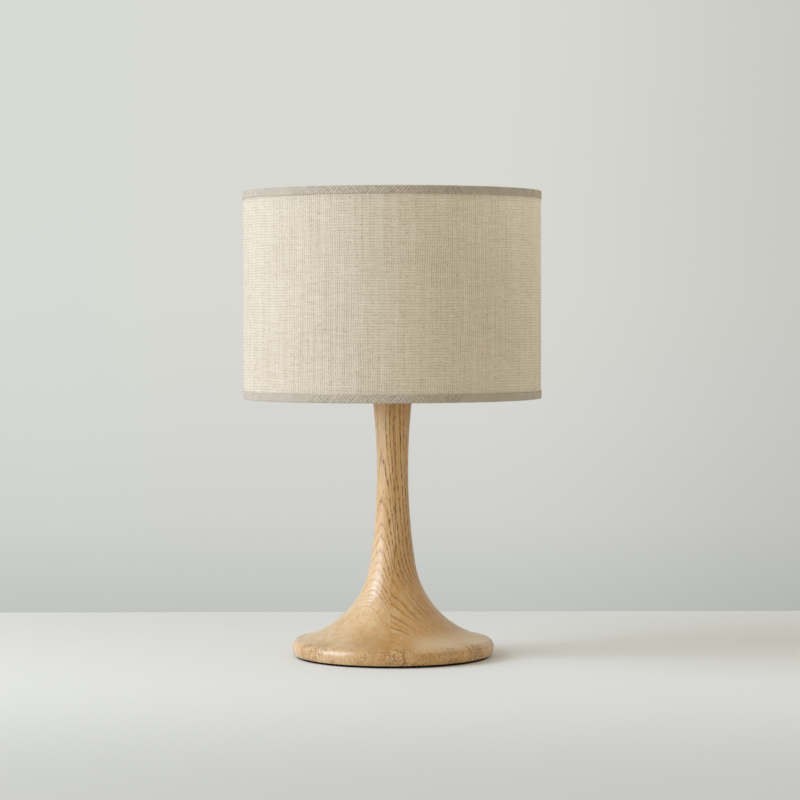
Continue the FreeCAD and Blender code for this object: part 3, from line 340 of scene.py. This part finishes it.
def board_tone(g, w, patch):
    """The boards' colour: long fibres over a broad drift from pale through honey to brown. Painted
    shade darkens the top of the neck, and a painted sheen pales the right board near its rim.
    """
    streak = g.noise(g.vector("MULTIPLY", w.point, (0.22, 0.22, 0.010)), seed=6.5)
    honey = g.add(g.rescale(streak, 0.35, 0.68), g.rescale(w.off_joint, *HONEY_SIDES, -0.35, 0.45))
    tone = g.blend(g.math("MAXIMUM", g.math("MINIMUM", honey, 1.0), 0.0), WOOD_PALE, WOOD_HONEY)
    tone = g.blend(g.rescale(patch, 0.42, 0.66, 0.0, 0.55), tone, WOOD_RUST)
    tone = g.blend(g.rescale(w.off_joint, *RUST_SIDES, 0.0, 0.45), tone, WOOD_RUST)
    # The neck is browner towards its top: painted shade that the lampshade casts on it.
    # The left board is browner low on the flare.
    tone = g.blend(g.rescale(w.z, *NECK_SHADE_LEVELS, 0.0, 0.75), tone, WOOD_RUST)
    brown = g.math("MULTIPLY", g.rescale(w.z, *BROWN_LEVELS), g.rescale(w.off_joint, *BROWN_SIDES))
    tone = g.blend(g.math("MULTIPLY", brown, g.choose(w.is_right, 0.5, 0.0)), tone, WOOD_RUST)
    # The right board is paler towards its rim: a painted sheen, the reflection of the bright room on
    # the flare's upper face.
    low = g.math("MULTIPLY", g.rescale(w.z, *SHEEN_LEVELS), g.rescale(w.z, *ABOVE_RIM_LEVELS))
    painted_sheen = g.math("MULTIPLY", low, g.rescale(w.off_joint, *SHEEN_SIDES, 0.0, 0.8))
    tone = g.blend(painted_sheen, tone, WOOD_PALE)
    fine = g.vector("MULTIPLY", w.point, (1.4, 1.4, 0.035))
    fibre = g.noise(fine, detail=3.0, roughness=0.65, seed=2.0)
    tone = g.blend(g.rescale(fibre, 0.46, 0.70, 0.0, 0.40), tone, WOOD_RING)
    return g.blend(g.rescale(fibre, 0.46, 0.28, 0.0, 0.35), tone, WOOD_PALE)


def wood():
    g = Finish("turned_ash")
    w = WoodPoint(g)
    line, porous, shown = growth_lines(g, w)
    pores, specks, pale_specks = pore_marks(g, w, porous, shown)
    scratch = scratch_mark(g, w)
    glue = g.rescale(g.math("ABSOLUTE", w.off_joint), 0.5, 0.1)
    patch = g.noise(w.along, 0.030, detail=3.0, roughness=0.55, seed=11.0)
    tone = board_tone(g, w, patch)
    for mark, strength, colour in (
        (line, g.choose(w.on_flare, *LINE_STRENGTH), WOOD_RING),
        (pores, g.choose(w.on_flare, *PORE_STRENGTH), WOOD_PORE),
        (specks, 1.0, WOOD_RING),
        (pale_specks, 0.6, WOOD_PALE),
        (glue, g.choose(w.on_flare, *GLUE_STRENGTH), WOOD_PORE),
        (scratch, 0.45, WOOD_RING),
    ):
        tone = g.blend(g.math("MULTIPLY", mark, strength), tone, colour)
    return g.done(
        Base_Color=tone,
        Roughness=g.add((pores, 0.3), g.rescale(patch, 0.3, 0.7, 0.36, 0.46)),
        Normal=g.bump(g.add((line, -0.25), (pores, -1.0), (scratch, -0.6), (specks, -0.3)), 0.12, 0.8),
        Coat_Weight=0.4,
        Coat_Roughness=0.20,
    )


# Linen. UV.x runs round the shade from its back seam and UV.y up it. Warp and weft are loosely plied,
# uneven yarns. In upright zones the warp shows more, and between them the weft.
WARP_PITCH = 2.3
WEFT_PITCH = 2.7
WARP_RUN = 90.0
WEFT_RUN = 30.0
PLY_RUN = 120.0
SLUB_RUN = 16.0
WARP_SHOWS = (0.38, 0.60, 0.35, 1.0)
WEFT_SHOWS = (0.60, 0.40, 0.25, 1.0)
ZONE_WIDTH = 177.0
ZONE_MIDDLE = 391.0
LINEN_TONES = (srgb(229, 216, 193), srgb(243, 233, 215), srgb(194, 178, 150))
LINEN_FLECK = srgb(112, 80, 58)
TRIM_TONES = (srgb(171, 159, 139), srgb(196, 185, 166), srgb(130, 118, 99))
BIAS = math.radians(45)


def yarns(g, across, along, pitch, run, seed):
    """Each yarn's own shade, which changes slowly on its way along, and the gap beside it."""
    count = g.math("DIVIDE", across, pitch)
    place = g.join(g.math("MULTIPLY", g.math("FLOOR", count), 3.7), g.math("DIVIDE", along, run), 0.0)
    own = g.math("SUBTRACT", g.noise(place, roughness=0.6, seed=seed), 0.5)
    off_middle = g.math("ABSOLUTE", g.math("SUBTRACT", g.math("FRACT", count), 0.5))
    return own, g.rescale(off_middle, 0.24, 0.5)


def cloth(name, tones, turned, reach, flecks, glow):
    """Natural linen with slubs. tones are its middle, light and dark colours, turned is the weave's
    angle to the piece, and reach is the range of shade between the tones. flecks is how strongly its
    brown specks show, and glow the share of light that comes through it."""
    base, light, dark = tones
    g = Finish(name)
    uv = g.node("ShaderNodeUVMap").outputs[0]
    across, up, _ = g.split(g.vector("MULTIPLY", uv, (1 / MM, 1 / MM, 1.0)))
    c, s = math.cos(turned), math.sin(turned)
    across, up = g.add((across, c), (up, s)), g.add((up, c), (across, -s))
    flat = g.join(across, up, 0.0)
    drift = g.math("SUBTRACT", g.noise(flat, 0.018, seed=9.0), 0.5)
    around, rise = g.add(across, (drift, 4.0)), g.add(up, (drift, 4.0))
    zone = g.math("MULTIPLY", g.math("SUBTRACT", around, ZONE_MIDDLE), 2 * math.pi / ZONE_WIDTH)
    where = g.add(g.noise(flat, 0.022, seed=21.0), (g.math("COSINE", zone), 0.12))
    warp, warp_gap = yarns(g, around, rise, WARP_PITCH, WARP_RUN, 1.0)
    weft, weft_gap = yarns(g, rise, around, WEFT_PITCH, WEFT_RUN, 2.0)
    ply, _ = yarns(g, around, rise, WARP_PITCH / 2, PLY_RUN, 3.0)
    slub, _ = yarns(g, rise, around, WEFT_PITCH / 2, SLUB_RUN, 4.0)
    fuzz = g.math("SUBTRACT", g.noise(flat, 0.75, roughness=0.6, seed=7.0), 0.5)
    shade = g.add(
        (g.math("MULTIPLY", warp_gap, g.rescale(where, *WARP_SHOWS)), -0.19),
        (g.math("MULTIPLY", weft_gap, g.rescale(where, *WEFT_SHOWS)), -0.12),
        (warp, 0.13),
        (weft, 0.13),
        (ply, 0.26),
        (slub, 0.20),
        (fuzz, 0.45),
        0.09,
    )
    tone = g.blend(g.rescale(shade, 0.0, -reach, smooth=False), base, dark)
    tone = g.blend(g.rescale(shade, 0.0, reach, smooth=False), tone, light)
    specks = g.noise(g.vector("MULTIPLY", g.join(around, rise, 0.0), (0.40, 0.58, 0.0)), detail=0.0)
    tone = g.blend(g.rescale(specks, 0.79, 0.83, 0.0, flecks), tone, LINEN_FLECK)
    g.done(
        Base_Color=tone,
        Roughness=0.92,
        Specular_IOR_Level=0.15,
        Sheen_Weight=0.15,
        Sheen_Roughness=0.5,
        Normal=g.bump(shade, 0.5, 0.7),
    )
    return let_light_through(g, tone, glow)


def let_light_through(g, tone, glow):
    """Mixes the shader with light that comes through from behind."""
    if glow:
        through = g.node("ShaderNodeBsdfTranslucent")
        g.feed(through.inputs["Color"], tone)
        mixed = g.node("ShaderNodeMixShader")
        mixed.inputs[0].default_value = glow
        g.feed(mixed.inputs[1], g.shader.outputs[0])
        g.feed(mixed.inputs[2], through.outputs[0])
        g.feed(g.output.inputs["Surface"], mixed.outputs[0])
    return g.material


def liner_film(glow):
    """The white styrene film behind the linen."""
    g = Finish("liner_film")
    point = g.place()
    mottle = g.noise(point, 0.05, 3.0, 0.5, 2.0)
    tone = g.blend(g.rescale(mottle, 0.3, 0.7), srgb(240, 238, 231), srgb(248, 246, 241))
    ripples = g.noise(point, 0.9, 2.0, 0.5, 3.0)
    g.done(Base_Color=tone, Roughness=0.55, Normal=g.bump(ripples, 0.03, 0.5))
    return let_light_through(g, tone, glow)


def felt():
    g = Finish("black_felt")
    point = g.place()
    fibres = g.noise(point, 2.2, 4.0, 0.7, 1.0)
    clumps = g.noise(point, 0.35, 2.0, 0.5, 2.0)
    tone = g.blend(g.rescale(fibres, 0.35, 0.7), srgb(20, 20, 19), srgb(46, 45, 42))
    tone = g.blend(g.math("MULTIPLY", clumps, 0.3), tone, srgb(32, 31, 28))
    return g.done(
        Base_Color=tone,
        Roughness=0.95,
        Specular_IOR_Level=0.1,
        Normal=g.bump(g.math("ADD", fibres, clumps), 0.35, 0.9),
    )


def moulded(name, low, high, roughness, grain=0.05):
    """Moulded plastic with a faint mottle, and fine texture from its mould."""
    g = Finish(name)
    point = g.place()
    cloud = g.noise(point, 0.08, 3.0, 0.5, 1.0)
    tone = g.blend(g.rescale(cloud, 0.3, 0.7), low, high)
    fine = g.noise(point, 3.0, 2.0, 0.5, 2.0)
    shine = g.rescale(cloud, 0.3, 0.7, roughness - 0.05, roughness + 0.07)
    return g.done(Base_Color=tone, Roughness=shine, Normal=g.bump(fine, grain, 0.5))


TURNING_MARKS = (1.0, 1.0, 8.0)


def metal(name, low, high, roughness):
    """Plated or plain metal, with fine turning marks and a little tarnish."""
    g = Finish(name)
    point = g.place()
    marks = g.noise(g.vector("MULTIPLY", point, TURNING_MARKS), 1.5, roughness=0.6, seed=1.0)
    stain = g.noise(point, 0.15, 3.0, 0.6, 2.0)
    tone = g.blend(g.rescale(stain, 0.35, 0.75), high, low)
    shine = g.add(g.rescale(stain, 0.3, 0.8, roughness, roughness + 0.12), (marks, 0.06))
    return g.done(Base_Color=tone, Roughness=shine, Metallic=1.0, Normal=g.bump(marks, 0.02, 0.5))


def enamel():
    """White enamel on wire, with a slight orange peel."""
    g = Finish("white_enamel")
    point = g.place()
    peel = g.noise(point, 0.8, 2.0, 0.5, 1.0)
    dust = g.noise(point, 0.2, 3.0, 0.6, 4.0)
    tone = g.blend(g.rescale(dust, 0.4, 0.8), srgb(232, 231, 226), srgb(212, 209, 200))
    return g.done(Base_Color=tone, Roughness=0.32, Coat_Weight=0.3, Normal=g.bump(peel, 0.04, 0.5))


def clear_glass():
    g = Finish("bulb_glass")
    point = g.place()
    waves = g.noise(point, 0.06, 2.0, 0.5, 1.0)
    tone = g.blend(waves, srgb(250, 251, 251), srgb(244, 247, 247))
    return g.done(
        Base_Color=tone,
        Roughness=0.02,
        Transmission_Weight=1.0,
        IOR=1.45,
        Normal=g.bump(waves, 0.05, 0.3),
    )


def phosphor():
    g = Finish("filament_coating")
    point = g.place()
    grain = g.noise(point, 3.0, 3.0, 0.6, 1.0)
    tone = g.blend(g.rescale(grain, 0.3, 0.7), srgb(232, 190, 84), srgb(246, 214, 122))
    return g.done(Base_Color=tone, Roughness=0.6, Normal=g.bump(grain, 0.05, 0.6))


LINEN_GLOW = 0.43
LINER_GLOW = 0.52

FINISHES = {
    "wood": wood(),
    "linen": cloth("linen", LINEN_TONES, turned=0.0, reach=0.14, flecks=0.7, glow=LINEN_GLOW),
    "trim": cloth("trim_tape", TRIM_TONES, turned=BIAS, reach=0.11, flecks=0.5, glow=0.0),
    "liner": liner_film(LINER_GLOW),
    "felt": felt(),
    "phenolic": moulded("black_phenolic", srgb(26, 25, 24), srgb(38, 36, 34), 0.30),
    "porcelain": moulded("porcelain", srgb(233, 230, 222), srgb(241, 239, 233), 0.20, 0.02),
    "bulb_glazing": moulded("dark_glazing", srgb(16, 16, 20), srgb(26, 26, 32), 0.18, 0.02),
    "zinc_steel": metal("zinc_steel", srgb(168, 170, 172), srgb(198, 200, 203), 0.32),
    "brass": metal("brass", srgb(176, 138, 74), srgb(214, 178, 104), 0.30),
    "bulb_metal": metal("bulb_metal", srgb(188, 186, 180), srgb(214, 213, 208), 0.28),
    "bulb_glass": clear_glass(),
    "filament": phosphor(),
    "white_wire": enamel(),
}

SLOT_OF = {part["node"]: part["material_slot"] for part in frame["record"]["subparts"]}


# ---------------------------------------------------------------------------------------------------
# Meshes.
# ---------------------------------------------------------------------------------------------------


def lathe(name, profile, angles, closed_profile, closed_round, wave=None):
    """Turns a profile of (radius, height) points about the axis, in millimetres.

    wave(angle, index) gives a point's small shift in radius and height. UV.x runs round the shade and
    UV.y along the profile, both in metres."""
    mesh = bpy.data.meshes.new(name)
    build = bmesh.new()
    uv_layer = build.loops.layers.uv.new("UVMap")
    mean_radius = max(radius for radius, _ in profile)
    run = [0.0]
    for (r0, z0), (r1, z1) in zip(profile, profile[1:] + profile[:1]):
        run.append(run[-1] + math.hypot(r1 - r0, z1 - z0))
    rows = []
    for angle in angles:
        row = []
        for index, (radius, height) in enumerate(profile):
            shift_r, shift_z = wave(angle, index) if wave else (0.0, 0.0)
            r = (radius + shift_r) * MM
            level = (height + shift_z) * MM
            row.append(build.verts.new((r * math.cos(angle), r * math.sin(angle), level)))
        rows.append(row)
    columns = len(profile) if closed_profile else len(profile) - 1
    turns = len(angles) if closed_round else len(angles) - 1
    step = angles[1] - angles[0]
    for i in range(turns):
        here, there = rows[i], rows[(i + 1) % len(angles)]
        for j in range(columns):
            k = (j + 1) % len(profile)
            face = build.faces.new((here[j], there[j], there[k], here[k]))
            face.smooth = True
            for loop, (turn, along) in zip(face.loops, ((i, j), (i + 1, j), (i + 1, j + 1), (i, j + 1))):
                loop[uv_layer].uv = (turn * step * mean_radius * MM, run[along] * MM)
    bmesh.ops.recalc_face_normals(build, faces=build.faces)
    build.to_mesh(mesh)
    build.free()
    made = bpy.data.objects.new(name, mesh)
    bpy.context.scene.collection.objects.link(made)
    return made


def full_turn():
    """The angles of a whole turn, from the seam."""
    return [SEAM_ANGLE + 2 * math.pi * i / SEGMENTS for i in range(SEGMENTS)]


def ripple(angle, parts):
    """A sum of waves that closes on itself: (size, waves in a turn, phase)."""
    return sum(size * math.sin(waves * angle + phase) for size, waves, phase in parts)


def dress(piece, slot, body, node):
    """Gives a new piece its finish and its body, and hides the node that it stands for."""
    piece.data.materials.append(FINISHES[slot])
    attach(piece, body)
    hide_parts(node)
    return piece


# The linen goes once round the shade and laps over its own start at the back. It and the film lie a
# little under the surface of their solids.
LINEN_WAVES = ((0.10, 3, 0.4), (0.06, 7, 1.9), (0.04, 13, 0.8))
LINEN_ROWS = 40
LAP_RISE = 0.35
LAP_STEPS = 3
UNDER_SKIN = 0.2


def drum(radius):
    """A straight profile from the linen's lower edge to its upper one."""
    height = LINEN_TOP - LINEN_BASE
    return [(radius, LINEN_BASE + height * i / LINEN_ROWS) for i in range(LINEN_ROWS + 1)]


def make_linen():
    turn = 2 * math.pi
    lap = SEAM_OVERLAP / LINEN_RADIUS
    step = turn / SEGMENTS
    count = SEGMENTS + round(lap / step)
    first = SEAM_ANGLE - lap / 2
    angles = [first + step * i for i in range(count + 1)]

    def wave(angle, index):
        over = (angle - first - turn) / (LAP_STEPS * step) + 1.0
        lift = LAP_RISE * min(1.0, max(0.0, over))
        return lift + ripple(angle, LINEN_WAVES) - UNDER_SKIN, 0.0

    profile = drum(LINEN_RADIUS)
    linen = lathe("linen_drum", profile, angles, closed_profile=False, closed_round=False, wave=wave)
    return dress(linen, "linen", "shade", "shade_linen")


def make_liner():
    profile = drum(LINER_RADIUS - UNDER_SKIN)
    liner = lathe("liner_film", profile, full_turn(), closed_profile=False, closed_round=True)
    return dress(liner, "liner", "shade", "shade_liner")


# Both rims are bound with tape, whose hems are slightly wavy and whose ends lap at the back.
TAPE_EDGE_WAVES = ((0.16, 5, 0.3), (0.12, 11, 2.1), (0.08, 23, 0.9), (0.05, 41, 1.4))
PUCKERS = ((0.22, 60, 0.0), (0.16, 83, 1.0), (0.10, 131, 2.0))
TAPE_RIPPLES = ((0.03, 37, 0.0), (0.03, 71, 1.2))
TAPE_LAP = 7.0
TAPE_LAP_RISE = 0.25
HEM_SHARE = 0.7
INNER_LEG = 1.2

# The tape's section: a wide leg outside, a soft fold over the rim, and a narrow leg round the wire.
TAPE = 0.6
TRIM_SINK = 0.3
OFF_LINEN = 0.1
FOLD = 1.25
FOLD_STEPS = 8
TUCK = 1.0
EASE = 0.15
TUCK_EASE = 0.2
OUTER_SHARES = (0.8, 0.6, 0.45)
INNER_SHARES = (0.5, 0.75)
# The inside of the fold, beside the narrow leg and beside the wide one: (aside, above the cloth).
FOLD_BY_WIRE = ((0.9, 0.25), (2.0, 0.0))
FOLD_BY_LINEN = ((1.6, 0.0), (0.5, 0.4))


def tape_section(edge, inward):
    """The tape's outline from the outer leg's hem, round the rim, to the inner leg's hem and back."""
    outer, skin = TRIM_RADIUS - TRIM_SINK, LINEN_RADIUS + OFF_LINEN
    bore, lining = TRIM_BORE, TRIM_BORE + TAPE
    hem, tuck = TRIM_WIDTH, TRIM_WIDTH - TUCK
    points = [(skin, hem), (outer - EASE, hem), (outer, hem - TAPE)]
    points += [(outer, hem * share) for share in OUTER_SHARES]
    for middle, start in ((outer - FOLD, 0.0), (bore + FOLD, math.pi / 2)):
        for i in range(FOLD_STEPS + 1):
            turn = start + math.pi / 2 * i / FOLD_STEPS
            points.append((middle + FOLD * math.cos(turn), FOLD - FOLD * math.sin(turn)))
    points += [(bore, tuck * share) for share in INNER_SHARES]
    points += [(bore, tuck - TUCK_EASE), (bore + EASE, tuck), (lining, tuck), (lining, FOLD)]
    points += [(lining + aside, TAPE + above) for aside, above in FOLD_BY_WIRE]
    points += [(skin - aside, TAPE + above) for aside, above in FOLD_BY_LINEN]
    points.append((skin, FOLD))
    return [(radius, edge + inward * height) for radius, height in points]


def make_trim(name, node, edge, inward):
    profile = tape_section(edge, inward)
    hem_band = TRIM_WIDTH * HEM_SHARE

    def wave(angle, index):
        radius, height = profile[index]
        depth = abs(height - edge)
        at_hem = max(0.0, (depth - hem_band) / (TRIM_WIDTH - hem_band)) if radius > LINEN_RADIUS else 0.0
        down = inward * at_hem * ripple(angle, TAPE_EDGE_WAVES)
        off_seam = abs((angle - SEAM_ANGLE + math.pi) % (2 * math.pi) - math.pi) * LINEN_RADIUS
        lap = TAPE_LAP_RISE * max(0.0, 1.0 - (off_seam / TAPE_LAP) ** 4)
        if radius < TRIM_BORE + INNER_LEG:
            out = -abs(ripple(angle, PUCKERS)) * min(1.0, depth / TRIM_WIDTH)
        else:
            out = lap * (radius > LINEN_RADIUS) + ripple(angle, TAPE_RIPPLES)
        return out, down

    trim = lathe(name, profile, full_turn(), closed_profile=True, closed_round=True, wave=wave)
    return dress(trim, "trim", "shade", node)


PAD_WAVES = ((0.12, 5, 0.3), (0.10, 17, 1.0), (0.07, 53, 2.2), (0.05, 97, 0.4))
PAD_EDGE = 0.7
PAD_EDGE_STEPS = 6
PAD_CENTRE = 0.01
PAD_RINGS = (0.2, 0.4, 0.6, 0.8, 0.96)
PAD_WAVY_FROM = 0.9


def make_pad():
    """A die-cut felt disc with a rounded, slightly wavy edge."""
    inset = PAD_RADIUS - PAD_EDGE
    flat = [PAD_CENTRE] + [PAD_RADIUS * share for share in PAD_RINGS] + [inset]
    profile = [(radius, PAD_BASE) for radius in flat]
    for start, middle in ((-math.pi / 2, PAD_BASE + PAD_EDGE), (0.0, PAD_TOP - PAD_EDGE)):
        for i in range(1, PAD_EDGE_STEPS):
            turn = start + math.pi / 2 * i / PAD_EDGE_STEPS
            profile.append((inset + PAD_EDGE * math.cos(turn), middle + PAD_EDGE * math.sin(turn)))
    profile += [(radius, PAD_TOP) for radius in reversed(flat)]

    def wave(angle, index):
        radius, _ = profile[index]
        return (ripple(angle, PAD_WAVES) if radius > PAD_RADIUS * PAD_WAVY_FROM else 0.0), 0.0

    pad = lathe("felt_pad", profile, full_turn(), closed_profile=True, closed_round=True, wave=wave)
    return dress(pad, "felt", "base", "base_pad")


linen = make_linen()
make_liner()
top_trim = make_trim("top_trim_tape", "shade_top_trim", SHADE_TOP, -1)
bottom_trim = make_trim("bottom_trim_tape", "shade_bottom_trim", TRIM_BASE, 1)
pad = make_pad()

for node, piece in frame["nodes"].items():
    for material_slot in piece.material_slots:
        material_slot.material = FINISHES[SLOT_OF[node]]


# ---------------------------------------------------------------------------------------------------
# Stage, light and camera. The camera's place and lens were fitted to the photograph's ellipses.
# ---------------------------------------------------------------------------------------------------

CAMERA_DISTANCE = 2702.8
CAMERA_HEIGHT = 350.0
CAMERA_ASIDE = 7.9
CAMERA_PITCH = math.radians(1.93)
CAMERA_ROLL = math.radians(0.12)
FOCAL_PIXELS = 2680.0
PHOTO_WIDTH = 800
SENSOR_MM = 36.0
TABLE_BEHIND = 395.0
TABLE_HALF_WIDTH = 4000.0
TABLE_FRONT = 4000.0

# The table is painted paler and bluer from left to right, to offset the lamps' tint and fall-off,
# and its brightness fades towards the front and the back edge: a painted pool of light round the lamp.
TABLE_LEFT = srgb(233, 232, 222)
TABLE_RIGHT = srgb(240, 241, 235)
TABLE_SIDES = (-500.0, 500.0)
TABLE_LIGHT_POOL = ((-800.0, 0.80), (-180.0, 1.0), (TABLE_BEHIND, 0.94))

# The wall as seen, with its light and shade painted in: its colour by the height of the line of
# sight, darker lower down, bluer to the left, dimmer to the right.
WALL_LEVELS = (
    (-0.112, (194, 196, 191)),
    (-0.097, (200, 202, 197)),
    (-0.078, (208, 209, 204)),
    (-0.041, (213, 214, 209)),
    (0.004, (216, 217, 211)),
    (0.111, (216, 218, 211)),
)
WALL_LEFT_TINT = (0.985, 1.012, 1.012, 1.0)
WALL_LEFT_SIDES = (-0.07, -0.15)
WALL_RIGHT_SHARE = 0.82
WALL_RIGHT_SIDES = (0.02, 0.19)
AMBIENT_TONE = (1.0, 0.95, 0.85, 1.0)
AMBIENT_STRENGTH = 0.93
AMBIENT_OVERHEAD = 0.45

# The key light stands to the left and in front, and points at the lower part of the shade.
KEY_PLACE = (-2730.0, -715.0, 1411.0)
KEY_TARGET = (0.0, 0.0, 280.0)
KEY_SIZE = (1950.0, 2210.0)
KEY_TONE = (0.92, 1.06, 1.36)
KEY_WATTS = 75.0


def make_table():
    mesh = bpy.data.meshes.new("table_top")
    front, back, side = -TABLE_FRONT * MM, TABLE_BEHIND * MM, TABLE_HALF_WIDTH * MM
    corners = [(-side, front, 0.0), (side, front, 0.0), (side, back, 0.0), (-side, back, 0.0)]
    mesh.from_pydata(corners, [], [(0, 1, 2, 3)])
    table = bpy.data.objects.new("table_top", mesh)
    bpy.context.scene.collection.objects.link(table)
    g = Finish("table_paint")
    x, y, _ = g.split(g.place())
    # Painted light: paler and bluer to the right, and a pool of light round the lamp.
    tone = g.blend(g.rescale(x, *TABLE_SIDES), TABLE_LEFT, TABLE_RIGHT)
    (near, dim), (middle, full), (far, dull) = TABLE_LIGHT_POOL
    in_front, behind = g.rescale(y, near, middle, dim, full), g.rescale(y, middle, far, full, dull)
    painted_pool = g.math("MULTIPLY", in_front, behind)
    tone = g.blend(1.0, tone, g.join(painted_pool, painted_pool, painted_pool), "MULTIPLY")
    g.done(Base_Color=tone, Roughness=0.80, Specular_IOR_Level=0.20)
    mesh.materials.append(g.material)


def wall_light(g, aside, level):
    """The wall's pale grey for where it is seen, with painted light: darker lower down and to the right.
    """
    ramp = g.node("ShaderNodeValToRGB")
    low, high = WALL_LEVELS[0][0], WALL_LEVELS[-1][0]
    stops = ramp.color_ramp.elements
    for height, _ in WALL_LEVELS[1:-1]:
        stops.new((height - low) / (high - low))
    for stop, (_, tone) in zip(stops, WALL_LEVELS):
        stop.color = srgb(*tone)
    g.feed(ramp.inputs[0], g.rescale(level, low, high, smooth=False))
    tint = g.rescale(aside, *WALL_LEFT_SIDES)
    wall = g.node("ShaderNodeBackground")
    g.feed(wall.inputs["Color"], g.blend(tint, ramp.outputs[0], WALL_LEFT_TINT, "MULTIPLY"))
    g.feed(wall.inputs["Strength"], g.rescale(aside, *WALL_RIGHT_SIDES, 1.0, WALL_RIGHT_SHARE))
    return wall.outputs[0]


def room_light(g, level):
    """The plain soft surround that lights the lamp, dimmer overhead."""
    ambient = g.node("ShaderNodeBackground")
    ambient.inputs["Color"].default_value = AMBIENT_TONE
    overhead = AMBIENT_STRENGTH * AMBIENT_OVERHEAD
    strength = g.rescale(level, 0.0, 1.0, AMBIENT_STRENGTH, overhead, smooth=False)
    g.feed(ambient.inputs["Strength"], strength)
    return ambient.outputs[0]


def make_world():
    world = bpy.data.worlds.new("studio")
    bpy.context.scene.world = world
    world.use_nodes = True
    world.node_tree.nodes.clear()
    g = Nodes(world.node_tree)
    aside, _, level = g.split(g.node("ShaderNodeTexCoord").outputs["Generated"])
    path = g.node("ShaderNodeLightPath").outputs
    seen = g.math("MAXIMUM", path["Is Camera Ray"], path["Is Glossy Ray"])
    seen = g.math("MAXIMUM", seen, path["Is Transmission Ray"])
    choose = g.node("ShaderNodeMixShader")
    for socket, source in zip(choose.inputs, (seen, room_light(g, level), wall_light(g, aside, level))):
        g.feed(socket, source)
    g.feed(g.node("ShaderNodeOutputWorld").inputs["Surface"], choose.outputs[0])


def make_key_lamp():
    data = bpy.data.lights.new("key_left", "AREA")
    data.shape = "RECTANGLE"
    data.size, data.size_y = (length * MM for length in KEY_SIZE)
    data.energy = KEY_WATTS
    data.color = KEY_TONE
    lamp = bpy.data.objects.new("key_left", data)
    place, target = Vector(KEY_PLACE) * MM, Vector(KEY_TARGET) * MM
    lamp.location = place
    lamp.rotation_euler = (target - place).to_track_quat("-Z", "Y").to_euler()
    bpy.context.scene.collection.objects.link(lamp)


def make_camera():
    data = bpy.data.cameras.new("photo_camera")
    data.sensor_width = SENSOR_MM
    data.lens = FOCAL_PIXELS / PHOTO_WIDTH * SENSOR_MM
    data.clip_end = 100.0
    camera = bpy.data.objects.new("photo_camera", data)
    camera.location = (CAMERA_ASIDE * MM, -CAMERA_DISTANCE * MM, CAMERA_HEIGHT * MM)
    camera.rotation_euler = (math.pi / 2 - CAMERA_PITCH, CAMERA_ROLL, 0.0)
    bpy.context.scene.collection.objects.link(camera)
    bpy.context.scene.camera = camera


make_table()
make_world()
make_key_lamp()
make_camera()

bpy.context.scene.view_settings.view_transform = "Standard"
